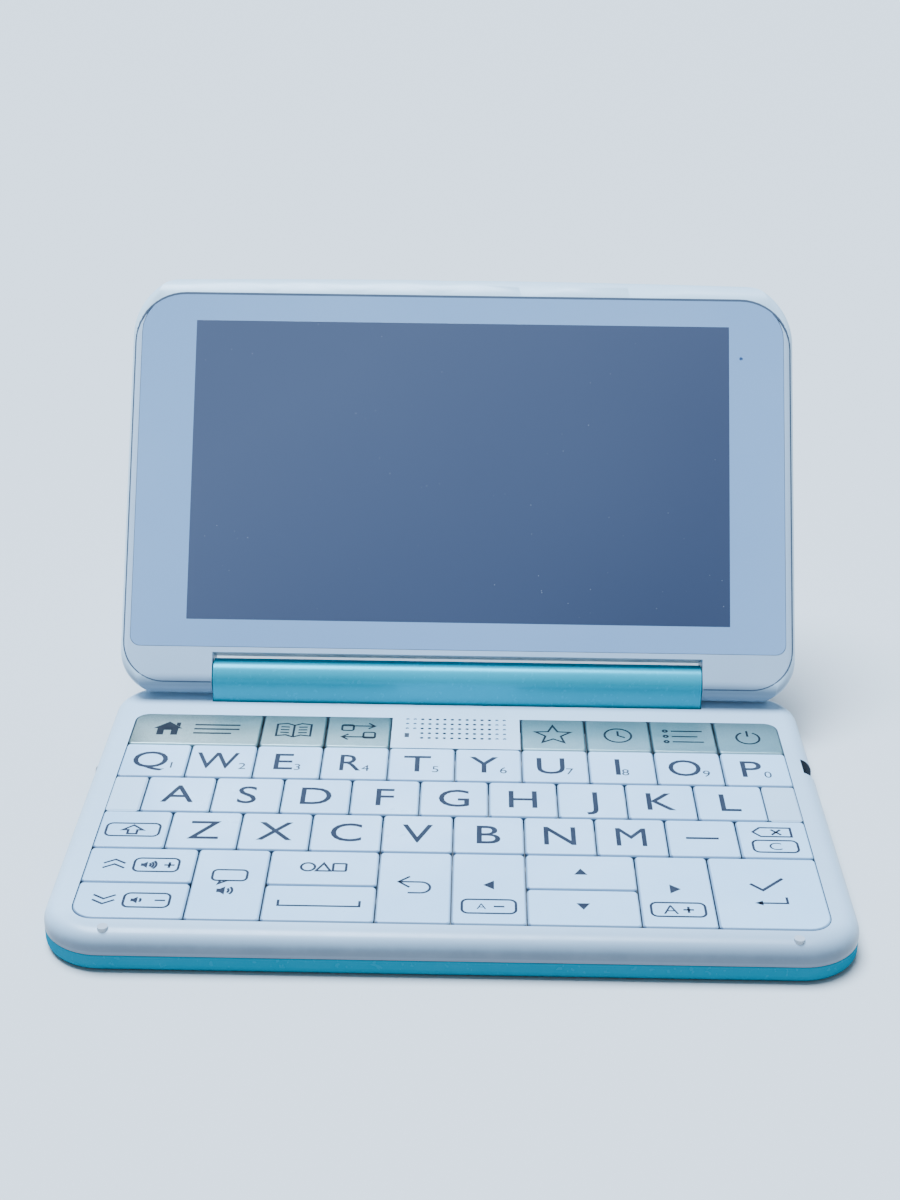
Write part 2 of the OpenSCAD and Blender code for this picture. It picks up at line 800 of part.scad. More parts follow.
module display_window() {
    color("lightsteelblue")
        lid_place()
            difference() {
                prism(rounded(mask_box, mask_radii, 8), frame_z - frame_t, frame_z - frame_t + mask_t);
                translate([screen_w / 2 + 2.7, screen_y0 + 7.4, frame_z - frame_t - over])
                    cylinder(h = over + mask_t / 2, r = mic_d / 2);
            }
}

module display_panel() {
    color("darkslateblue")
        lid_place()
            prism(rounded(panel_box, [1, 1, 1, 1]), frame_z - frame_t + mask_t + 0.05,
                  frame_z - frame_t + mask_t + 0.05 + panel_t);
}

base_top_case();
base_bottom_case();
key_mat();
main_board();
battery();
stylus();
rubber_pads();
hinge_barrel();
hinge_shafts();
lid_front_frame();
lid_back_cover();
display_window();
display_panel();
for (k = KEYS)
    keycap(k);
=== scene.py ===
"""Looks of a folding electronic dictionary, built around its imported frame."""

from __future__ import annotations

import logging
import math
from dataclasses import dataclass, field
from enum import Enum
from typing import Iterable, Sequence, Union

import bmesh
import bpy
from bmesh.types import BMesh, BMVert
from bpy.types import ID, Material, Mesh, Node, NodeSocket, Object
from mathutils import Matrix, Vector

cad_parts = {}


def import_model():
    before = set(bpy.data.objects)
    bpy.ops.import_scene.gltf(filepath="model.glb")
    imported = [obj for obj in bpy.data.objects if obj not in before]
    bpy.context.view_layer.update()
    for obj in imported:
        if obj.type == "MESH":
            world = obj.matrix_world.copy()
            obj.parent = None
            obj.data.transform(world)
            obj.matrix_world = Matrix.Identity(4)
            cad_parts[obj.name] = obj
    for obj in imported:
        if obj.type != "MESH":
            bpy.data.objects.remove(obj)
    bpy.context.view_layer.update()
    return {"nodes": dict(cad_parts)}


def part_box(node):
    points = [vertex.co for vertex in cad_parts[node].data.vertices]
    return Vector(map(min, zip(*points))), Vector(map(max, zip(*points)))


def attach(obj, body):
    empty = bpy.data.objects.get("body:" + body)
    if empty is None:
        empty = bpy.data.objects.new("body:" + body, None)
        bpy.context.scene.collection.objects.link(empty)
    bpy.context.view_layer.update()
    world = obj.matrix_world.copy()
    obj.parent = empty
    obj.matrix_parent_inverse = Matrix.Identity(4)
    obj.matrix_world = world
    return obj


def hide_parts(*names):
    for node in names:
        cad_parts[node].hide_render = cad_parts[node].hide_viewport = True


LOG = logging.getLogger("dictionary")
MM = 0.001
Colour = tuple[float, float, float]
Point = tuple[float, float]
Place = tuple[float, float, float]
# Features to a metre, octaves, and the strength of the finer ones
Noise = tuple[float, float, float]
# Start and end of a value's range, and what each becomes
Span = tuple[float, float, float, float]
# The middle of a noise's range
MIDDLE = (0.3, 0.7)
# Flakes of the pearl and metallic lacquers to a metre
FLAKES = 9000
# Left and right, or down and up
SIDES = (-1, 1)


# ---- shader graphs


@dataclass(frozen=True)
class Value:
    """One socket of a shader graph, on which sums are written as Python expressions."""

    graph: "Graph"
    socket: NodeSocket

    def _math(self, operation: str, first: "Term", second: "Term") -> "Value":
        """Adds one Math node and gives its result."""
        node = self.graph.node("ShaderNodeMath", {"operation": operation}, {0: first, 1: second})
        return self.graph.out(node)

    def __add__(self, other: "Term") -> "Value":
        """Sum."""
        return self._math("ADD", self, other)

    def __radd__(self, other: "Term") -> "Value":
        """Sum, reflected."""
        return self._math("ADD", other, self)

    def __sub__(self, other: "Term") -> "Value":
        """Difference."""
        return self._math("SUBTRACT", self, other)

    def __rsub__(self, other: "Term") -> "Value":
        """Difference, reflected."""
        return self._math("SUBTRACT", other, self)

    def __mul__(self, other: "Term") -> "Value":
        """Product."""
        return self._math("MULTIPLY", self, other)

    def __rmul__(self, other: "Term") -> "Value":
        """Product, reflected."""
        return self._math("MULTIPLY", other, self)

    def __gt__(self, other: "Term") -> "Value":
        """One where this is the larger, zero elsewhere."""
        return self._math("GREATER_THAN", self, other)


Term = Union[Value, float]


class Graph:
    """A material's node tree, with one Principled shader at its end."""

    def __init__(self, name: str) -> None:
        """Makes an empty material.

        Args:
            name: the material's name.
        """
        self.material = bpy.data.materials.new(name)
        self.material.use_nodes = True
        self.tree = self.material.node_tree
        self.tree.nodes.clear()
        self.place = self.out(self.node("ShaderNodeTexCoord"), "Object")

    def node(self, kind: str, settings: dict | None = None, inputs: dict | None = None) -> Node:
        """Adds a node.

        Args:
            kind: the node's type.
            settings: its own settings, which are set first.
            inputs: values or links of its sockets, by name or number.

        Returns:
            The new node.
        """
        made = self.tree.nodes.new(kind)
        for key, value in (settings or {}).items():
            setattr(made, key, value)
        for key, value in (inputs or {}).items():
            socket = made.inputs[key]
            if isinstance(value, Value):
                self.tree.links.new(value.socket, socket)
            elif socket.type == "RGBA":
                socket.default_value = (*value, 1.0)
            else:
                socket.default_value = value
        return made

    def out(self, node: Node, name: str | int = 0) -> Value:
        """One output of a node, as a value."""
        return Value(self, node.outputs[name])

    def noise(self, per_metre: float, detail: float = 2.0, roughness: float = 0.5) -> Value:
        """Smooth noise between 0 and 1.

        Args:
            per_metre: how many features there are to a metre.
            detail: the number of octaves.
            roughness: the strength of the finer octaves.

        Returns:
            The noise as a value.
        """
        inputs = {"Vector": self.place, "Scale": per_metre, "Detail": detail, "Roughness": roughness}
        return self.out(self.node("ShaderNodeTexNoise", None, inputs), "Fac")

    def cells(self, per_metre: float, output: str = "Distance") -> Value:
        """Distance to the nearest of many scattered points, in cell widths, or their colour."""
        inputs = {"Vector": self.place, "Scale": per_metre}
        return self.out(self.node("ShaderNodeTexVoronoi", None, inputs), output)

    def grains(self, per_metre: float) -> Value:
        """A random shade for each small cell, between 0 and 1."""
        return self.out(self.node("ShaderNodeSeparateColor", None, {0: self.cells(per_metre, "Color")}))

    def axis(self, name: str, of: Value | None = None) -> Value:
        """One coordinate of the surface point, in metres, or of another vector."""
        return self.out(self.node("ShaderNodeSeparateXYZ", None, {0: of or self.place}), name)

    def facing(self, name: str) -> Value:
        """How far the surface faces along one axis of its piece, from -1 to 1."""
        return self.axis(name, self.out(self.node("ShaderNodeTexCoord"), "Normal"))

    def mix(self, share: Term, first: Colour | Value, second: Colour | Value) -> Value:
        """Blend of two colours.

        Args:
            share: how much of the second there is.
            first: one colour.
            second: the other colour.

        Returns:
            The mixed colour.
        """
        settings = {"data_type": "RGBA", "clamp_factor": True}
        return self.out(self.node("ShaderNodeMix", settings, {0: share, 6: first, 7: second}), 2)

    def span(
        self, value: Value, low: float, high: float, new_low: float = 0.0, new_high: float = 1.0
    ) -> Value:
        """Stretches a value from one range to another, held at its ends.

        Args:
            value: what is stretched.
            low: start of its range.
            high: end of its range.
            new_low: what the start becomes.
            new_high: what the end becomes.

        Returns:
            The stretched value.
        """
        inputs = {0: value, 1: low, 2: high, 3: new_low, 4: new_high}
        return self.out(self.node("ShaderNodeMapRange", {"clamp": True}, inputs))

    def bump(self, height: Value, strength: float, distance_mm: float) -> Value:
        """A surface normal that follows a height.

        Args:
            height: the height, between 0 and 1.
            strength: how strongly it shows.
            distance_mm: the height of a step from 0 to 1, in millimetres.

        Returns:
            The bent normal.
        """
        inputs = {"Strength": strength, "Distance": distance_mm * MM, "Height": height}
        return self.out(self.node("ShaderNodeBump", None, inputs))

    def finish(self, **sockets: object) -> Material:
        """Ends the graph in a Principled shader.

        Args:
            **sockets: the shader's sockets, with underscores for spaces.

        Returns:
            The finished material.
        """
        inputs = {key.replace("_", " "): value for key, value in sockets.items()}
        shader = self.node("ShaderNodeBsdfPrincipled", None, inputs)
        self.node("ShaderNodeOutputMaterial", None, {"Surface": self.out(shader)})
        return self.material


# ---- finishes


@dataclass(frozen=True)
class CaseLacquer:
    """White lacquer of the cases: satin, with painted shade on the right and front rims, on upright and
    downward faces, and low on the front above the parting line.
    """

    name: str = "case_lacquer"
    base: Colour = (0.61, 0.82, 0.97)
    aged: Colour = (0.56, 0.75, 0.89)
    # Painted shade: the colour of the right and front rims and of upright faces
    sides: Colour = (0.28, 0.37, 0.45)
    upright: float = 0.55
    # Painted shade low on the front faces, just above the parting line
    seam_shade: Colour = (0.045, 0.064, 0.088)
    # Painted shade on faces that turn down and forward
    under: Colour = (0.19, 0.25, 0.32)
    cloud: Noise = (28, 3, 0.6)
    # Noise of the wear, which also breaks up the painted shade
    wear_and_shade: Noise = (160, 4, 0.65)
    specks: float = 5200
    # Where painted shade darkens the right rim and the front rim
    right_shade: Span = (-0.02, 0.076, 0.0, 0.3)
    front_shade: Span = (-0.0720, -0.065, 0.6, 0.0)
    # How the noise breaks up the painted shade on upright faces and above the parting line
    side_shade_noise: Span = (0.2, 0.6, 0.75, 1.0)
    seam_shade_noise: Span = (0.2, 0.6, 0.8, 1.0)
    # Where the painted shade above the parting line falls
    seam_height: Point = (0.0048, 0.0078)
    seam_front: Span = (-0.8, -0.1, 0.95, 0.4)
    # Where the painted shade on faces that turn down and forward falls
    under_down: Span = (-0.1, 0.42, 1.0, 0.0)
    under_front: Span = (-0.9, -0.35, 1.0, 0.0)
    rough: Span = (*MIDDLE, 0.32, 0.46)

    def material(self) -> Material:
        """Mixes the lacquer.

        Returns:
            The material.
        """
        g = Graph(self.name)
        wear_and_shade = g.noise(*self.wear_and_shade)
        tone = g.mix(g.span(g.noise(*self.cloud), 0.35, 0.75), self.base, self.aged)
        # Painted shade, darker towards the right rim and the front rim
        rim = g.span(g.axis("X"), *self.right_shade) + g.span(g.axis("Y"), *self.front_shade)
        tone = g.mix(rim, tone, self.sides)
        # Painted shade on upright faces, broken up by the noise
        upright = 1 - g.span(g.facing("Z"), -0.1, self.upright)
        tone = g.mix(upright * g.span(wear_and_shade, *self.side_shade_noise), tone, self.sides)
        # Painted shade low on the front, just above the parting line
        low = 1 - g.span(g.axis("Z"), *self.seam_height)
        front = g.span(g.facing("Y"), *self.seam_front)
        tone = g.mix(low * front * g.span(wear_and_shade, *self.seam_shade_noise), tone, self.seam_shade)
        # Painted shade on faces that turn down and forward
        below = g.span(g.facing("Z"), *self.under_down) * g.span(g.facing("Y"), *self.under_front)
        return g.finish(
            Base_Color=g.mix(below, tone, self.under), Roughness=g.span(wear_and_shade, *self.rough),
            Normal=g.bump(g.grains(self.specks) * 0.4 + wear_and_shade, strength=0.1, distance_mm=0.02),
            Coat_Weight=0.2, Coat_Roughness=0.22,
        )


@dataclass(frozen=True)
class PearlLacquer:
    """Blue-green pearl lacquer of the barrel and the lower case, with fine flakes."""

    name: str = "barrel_pearl"
    deep: Colour = (0.0, 0.38, 0.48)
    bright: Colour = (0.0, 0.48, 0.60)
    sheen: Colour = (0.02, 0.62, 0.85)
    cloud: Noise = (45, 3, 0.6)
    hair: Noise = (900, 2, 0.5)
    rough: Span = (*MIDDLE, 0.23, 0.28)
    metallic: float = 0.17

    def material(self) -> Material:
        """Mixes the lacquer.

        Returns:
            The material.
        """
        g = Graph(self.name)
        hair = g.noise(*self.hair)
        share = g.grains(FLAKES) * 0.2 + g.noise(*self.cloud) * 0.5
        return g.finish(
            Base_Color=g.mix(share, self.deep, self.bright), Metallic=self.metallic,
            Roughness=g.span(hair, *self.rough), Normal=g.bump(hair, strength=0.01, distance_mm=0.01),
            Specular_IOR_Level=0.0, Specular_Tint=self.sheen,
        )


@dataclass(frozen=True)
class KeyFinish:
    """What both lacquers of the keys share: where a cap's bevels and its skirt are, which take painted shade
    and a painted highlight.
    """

    bevel_facing: Point = (-0.7, -0.15)
    skirt_height: Point = (0.0072, 0.0080)

    def bevel(self, g: Graph, axis: str, share: float) -> Value:
        """Mask of the bevel that faces the front (Y) or the left (X), where painted shade goes, and on the
        metal keys a painted highlight on the front one.
        """
        return g.span(g.facing(axis), *self.bevel_facing, share, 0.0)

    def skirt(self, g: Graph) -> Value:
        """Mask of a cap's sides, below its top edge, where painted shade goes."""
        return 1 - g.span(g.axis("Z"), *self.skirt_height)


@dataclass(frozen=True)
class KeyLacquer(KeyFinish):
    """Pale, slightly blue lacquer of the letter keys, polished by fingers, with painted shade on its bevels
    and sides.
    """

    base: Colour = (0.52, 0.79, 1.0)
    handled: Colour = (0.47, 0.73, 0.96)
    scuffed: Colour = (0.46, 0.56, 0.66)
    # Painted shade of the front and left bevels and the sides, standing in for dark gaps between keys
    gap_shade: Colour = (0.10, 0.15, 0.24)
    cloud: Noise = (60, 3, 0.6)
    scuff: Noise = (700, 3, 0.7)
    specks: float = 6000
    rough: Span = (*MIDDLE, 0.26, 0.4)

    def material(self) -> Material:
        """Mixes the lacquer.

        Returns:
            The material.
        """
        g = Graph("key_lacquer")
        cloud = g.noise(*self.cloud)
        tone = g.mix(g.span(cloud, 0.35, 0.7), self.base, self.handled)
        tone = g.mix(g.span(g.noise(*self.scuff), 0.7, 0.85) * 0.3, tone, self.scuffed)
        # Painted shade on the front and left bevels and on the skirt
        edge = self.bevel(g, "Y", 0.75) + self.bevel(g, "X", 0.6)
        return g.finish(
            Base_Color=g.mix(self.skirt(g) + edge, tone, self.gap_shade), Roughness=g.span(cloud, *self.rough),
            Normal=g.bump(g.grains(self.specks), strength=0.06, distance_mm=0.01),
            Coat_Weight=0.35, Coat_Roughness=0.15,
        )


@dataclass(frozen=True)
class MetalKeyLacquer(KeyFinish):
    """Champagne and green-grey metallic lacquer of the function keys, with a painted highlight on the front
    bevel and painted shade on the left bevel and the sides.
    """

    warm: Colour = (0.150, 0.195, 0.160)
    cool: Colour = (0.14, 0.28, 0.29)
    rear: Colour = (0.085, 0.15, 0.16)
    glint: Colour = (0.34, 0.43, 0.40)
    # Painted highlight of the front bevel
    edge: Colour = (0.42, 0.60, 0.60)
    # Painted shade of the left bevel and the sides
    gap_shade: Colour = (0.05, 0.085, 0.12)
    across: Point = (-0.06, 0.02)
    rearward: Span = (0.001, 0.0095, 0.0, 0.6)
    hair: Noise = (500, 2, 0.5)
    rough: Span = (*MIDDLE, 0.3, 0.42)

    def material(self) -> Material:
        """Mixes the lacquer.

        Returns:
            The material.
        """
        g = Graph("metal_key_lacquer")
        flake = g.grains(FLAKES)
        tone = g.mix(g.span(g.axis("X"), *self.across), self.warm, self.cool)
        tone = g.mix(g.span(g.axis("Y"), *self.rearward), tone, self.rear)
        tone = g.mix(g.span(flake, 0.2, 1.0) * 0.3, tone, self.glint)
        # Painted highlight on the front bevel
        tone = g.mix(self.bevel(g, "Y", 0.9), tone, self.edge)
        return g.finish(
            # Painted shade on the sides and the left bevel
            Base_Color=g.mix(self.skirt(g) + self.bevel(g, "X", 0.7), tone, self.gap_shade), Metallic=0.65,
            Roughness=g.span(g.noise(*self.hair), *self.rough),
            Normal=g.bump(flake, strength=0.12, distance_mm=0.01), Coat_Weight=0.4, Coat_Roughness=0.12,
        )


@dataclass(frozen=True)
class KeyInk:
    """Slate ink of the key markings, slightly worn."""

    name: str = "key_ink"
    ink: Colour = (0.025, 0.031, 0.050)
    worn: Colour = (0.042, 0.052, 0.078)
    patch: Noise = (240, 3, 0.6)
    rough: Span = (*MIDDLE, 0.45, 0.6)

    def material(self) -> Material:
        """Mixes the ink.

        Returns:
            The material.
        """
        g = Graph(self.name)
        patch = g.noise(*self.patch)
        tone = g.mix(g.span(patch, 0.4, 0.8), self.ink, self.worn)
        return g.finish(Base_Color=tone, Roughness=g.span(patch, *self.rough), Specular_IOR_Level=0.12)


@dataclass(frozen=True)
class WindowPrint:
    """Pale grey-blue print behind the window's gloss, with faint smears."""

    base: Colour = (0.27, 0.43, 0.66)
    light: Colour = (0.30, 0.46, 0.68)
    fleck: Colour = (0.38, 0.53, 0.72)
    cloud: Noise = (22, 3, 0.55)
    smear: Noise = (130, 4, 0.6)
    rough: Span = (0.35, 0.75, 0.16, 0.27)

    def material(self) -> Material:
        """Prints the window.

        Returns:
            The material.
        """
        g = Graph("window_print")
        tone = g.mix(g.span(g.noise(*self.cloud), *MIDDLE), self.base, self.light)
        tone = g.mix(g.grains(FLAKES) * 0.08, tone, self.fleck)
        rough = g.span(g.noise(*self.smear), *self.rough)
        return g.finish(Base_Color=tone, Roughness=rough, Coat_Weight=0.7, Coat_Roughness=0.06)


@dataclass(frozen=True)
class DarkScreen:
    """The switched-off screen: slate blue, with painted shade darker to the lower right, and a little dust.
    """

    left: Colour = (0.088, 0.106, 0.166)
    right: Colour = (0.038, 0.052, 0.098)
    hazy: Colour = (0.12, 0.15, 0.22)
    dust: Colour = (0.22, 0.26, 0.34)
    drift: Point = (-0.09, 0.03)
    haze: Noise = (14, 2, 0.5)
    motes: float = 420
    mote_size: Point = (0.025, 0.06)
    dusty: Noise = (90, 2, 0.5)
    smear: Noise = (110, 4, 0.65)
    rough: Span = (0.35, 0.7, 0.12, 0.2)

    def material(self) -> Material:
        """Darkens the screen.

        Returns:
            The material.
        """
        g = Graph("dark_screen")
        # Painted shade: darker towards the lower right
        tone = g.mix(g.span(g.axis("X") * 0.6 - g.axis("Z"), *self.drift), self.left, self.right)
        tone = g.mix(g.span(g.noise(*self.haze), 0.3, 0.8) * 0.1, tone, self.hazy)
        mote = 1 - g.span(g.cells(self.motes), *self.mote_size)
        mote = mote * g.span(g.noise(*self.dusty), 0.5, 0.62)
        rough = g.span(g.noise(*self.smear), *self.rough) + mote * 0.4
        tone = g.mix(mote, tone, self.dust)
        return g.finish(Base_Color=tone, Roughness=rough, Coat_Weight=0.3, Coat_Roughness=0.08)


@dataclass(frozen=True)
class GroundPlastic:
    """Plain plastic, rubber or metal with a fine grain."""

    name: str
    base: Colour
    shade: Colour
    roughness: float = 0.55
    grain_per_metre: float = 3500
    relief: float = 0.2
    metallic: float = 0.0
    cloud: Noise = (90, 3, 0.6)
    spread: float = 0.06

    def material(self) -> Material:
        """Mixes the plastic.

        Returns:
            The material.
        """
        g = Graph(self.name)
        cloud = g.noise(*self.cloud)
        rough = g.span(cloud, *MIDDLE, self.roughness - self.spread, self.roughness + self.spread)
        return g.finish(
            Base_Color=g.mix(g.span(cloud, 0.3, 0.75), self.base, self.shade), Roughness=rough,
            Normal=g.bump(g.noise(self.grain_per_metre, 2, 0.6), self.relief, distance_mm=0.03),
            Metallic=self.metallic,
        )


class Plain(Enum):
    """The plain finishes of the small parts."""

    PADS = GroundPlastic("pad_rubber", (0.52, 0.56, 0.6), (0.46, 0.5, 0.54), 0.5, 2600, 0.15)
    MAT = GroundPlastic("mat_silicone", (0.62, 0.64, 0.66), (0.56, 0.58, 0.6), 0.45)
    POUCH = GroundPlastic("pouch_foil", (0.5, 0.5, 0.52), (0.42, 0.42, 0.45), 0.35, 900, 0.3, 0.8)
    # Dark parts, and the dark sheet that stands in for shade in the finger notch
    DARK = GroundPlastic("dark_insert_and_shade", (0.012, 0.016, 0.028), (0.02, 0.026, 0.042), 0.5, 4200, 0.3)
    STYLUS = GroundPlastic("stylus_plastic", (0.006, 0.007, 0.014), (0.012, 0.014, 0.024), 0.6, 3000, 0.15)
    PANEL = GroundPlastic("panel_back", (0.05, 0.06, 0.09), (0.04, 0.05, 0.07), 0.4)
    STEEL = GroundPlastic("turned_steel", (0.5, 0.5, 0.52), (0.4, 0.4, 0.42), 0.3, 1500, 0.1, 1.0)
    # A dark strip that stands in for the shade in the lid's joint
    GASKET = GroundPlastic("joint_shade_strip", (0.06, 0.085, 0.13), (0.08, 0.11, 0.16), 0.6, 3000, 0.2)

    def material(self) -> Material:
        """The finish as a material."""
        return self.value.material()


@dataclass(frozen=True)
class BoardPrint:
    """Solder mask with the faint lines of its tracks."""

    mask: Colour = (0.01, 0.13, 0.05)
    track: Colour = (0.03, 0.24, 0.09)
    tracks_per_metre: float = 300.0
    patch: Noise = (60, 2, 0.5)

    def material(self) -> Material:
        """Prints the board.

        Returns:
            The material.
        """
        g = Graph("board_print")
        inputs = {"Vector": g.place, "Scale": self.tracks_per_metre}
        bands = g.out(g.node("ShaderNodeTexWave", {"bands_direction": "X"}, inputs), "Fac")
        share = (bands > 0.75) * g.span(g.noise(*self.patch), 0.4, 0.6)
        return g.finish(Base_Color=g.mix(share, self.mask, self.track), Roughness=0.35, Coat_Weight=0.4)


@dataclass(frozen=True)
class StudioPaper:
    """Pale floor of the studio, with the least of textures."""

    base: Colour = (0.75, 0.73, 0.70)
    shade: Colour = (0.74, 0.72, 0.69)
    fibre: Noise = (300, 2, 0.5)

    def material(self) -> Material:
        """Tints the paper.

        Returns:
            The material.
        """
        g = Graph("studio_paper")
        return g.finish(Base_Color=g.mix(g.noise(*self.fibre) * 0.2, self.base, self.shade), Roughness=0.85)


# ---- mesh making


def add_object(name: str, data: ID) -> Object:
    """Puts an object with its data into the scene."""
    made = bpy.data.objects.new(name, data)
    bpy.context.scene.collection.objects.link(made)
    return made


def new_object(name: str, mesh: BMesh, material: Material, smooth: bool = True) -> Object:
    """Turns a bmesh into an object of the scene.

    Args:
        name: the object's name.
        mesh: its faces; it is freed here.
        material: its finish.
        smooth: whether its faces are shaded round.

    Returns:
        The new object.
    """
    bmesh.ops.recalc_face_normals(mesh, faces=mesh.faces)
    data = bpy.data.meshes.new(name)
    mesh.to_mesh(data)
    mesh.free()
    data.materials.append(material)
    for polygon in data.polygons:
        polygon.use_smooth = smooth
    return add_object(name, data)


def loft(
    name: str, rings: Sequence[Sequence[Vector]], material: Material, smooth: bool = False,
    capped: bool = True,
) -> Object:
    """Joins closed rings of points into the skin of a new object.

    Args:
        name: the object's name.
        rings: the rings, all with the same number of points.
        material: its finish.
        smooth: whether its faces are shaded round.
        capped: whether the first ring is closed, as the last one is.

    Returns:
        The new object.
    """
    mesh = bmesh.new()
    made = [[mesh.verts.new(point) for point in ring] for ring in rings]
    count = len(made[0])
    for lower, upper in zip(made, made[1:]):
        for i in range(count):
            j = (i + 1) % count
            mesh.faces.new((lower[i], lower[j], upper[j], upper[i]))
    if capped:
        mesh.faces.new(list(reversed(made[0])))
    mesh.faces.new(made[-1])
    return new_object(name, mesh, material, smooth)


def level_ring(points: Iterable[Point], height: float, middle: Point = (0.0, 0.0)) -> list[Vector]:
    """A level ring of points around a middle, given in millimetres."""
    return [Vector((middle[0] + x, middle[1] + y, height)) * MM for x, y in points]


def hold(piece: Object, body: str) -> None:
    """Lets a new piece ride on a body."""
    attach(piece, body)


def dress(nodes: dict[str, Object], finishes: dict[str, Material]) -> None:
    """Puts one material on each of some CAD pieces.

    Args:
        nodes: the frame's nodes.
        finishes: the finish of each piece, by the name of its node.
    """
    for name, finish in finishes.items():
        nodes[name].data.materials.clear()
        nodes[name].data.materials.append(finish)


def polar(radius: float, turn: float, centre: Point = (0.0, 0.0)) -> Point:
    """The point at a radius and a turn, in radians, around a centre."""
    return centre[0] + radius * math.cos(turn), centre[1] + radius * math.sin(turn)


def rounded_outline(low: Point, high: Point, radii: Sequence[float], steps: int = 6) -> list[Point]:
    """Outline of a rectangle with its own radius at each corner.

    Args:
        low: its left front corner.
        high: its right back corner.
        radii: the radii, front left first, anticlockwise.
        steps: segments in each corner.

    Returns:
        The points, anticlockwise.
    """
    inner = [
        (low[0] + radii[0], low[1] + radii[0]),
        (high[0] - radii[1], low[1] + radii[1]),
        (high[0] - radii[2], high[1] - radii[2]),
        (low[0] + radii[3], high[1] - radii[3]),
    ]
    points = []
    for corner, centre in enumerate(inner):
        for step in range(steps + 1):
            turn = math.pi * (1 + corner / 2) + math.pi / 2 * step / steps
            points.append(polar(radii[corner], turn, centre))
    return points


def circle(radius: float, count: int = 32) -> list[Point]:
    """Points around a circle, anticlockwise."""
    return [polar(radius, 2 * math.pi * i / count) for i in range(count)]


def cut_out(piece: Object, tool: Object) -> None:
    """Takes one closed mesh out of another, and removes the tool.

    Args:
        piece: the object that is cut.
        tool: the shape of the cut.
    """
    cut = piece.modifiers.new("cut", "BOOLEAN")
    cut.object = tool
    cut.solver = "EXACT"
    graph = bpy.context.evaluated_depsgraph_get()
    result = bpy.data.meshes.new_from_object(piece.evaluated_get(graph))
    piece.modifiers.clear()
    old, piece.data = piece.data, result
    bpy.data.meshes.remove(old)
    bpy.data.objects.remove(tool)


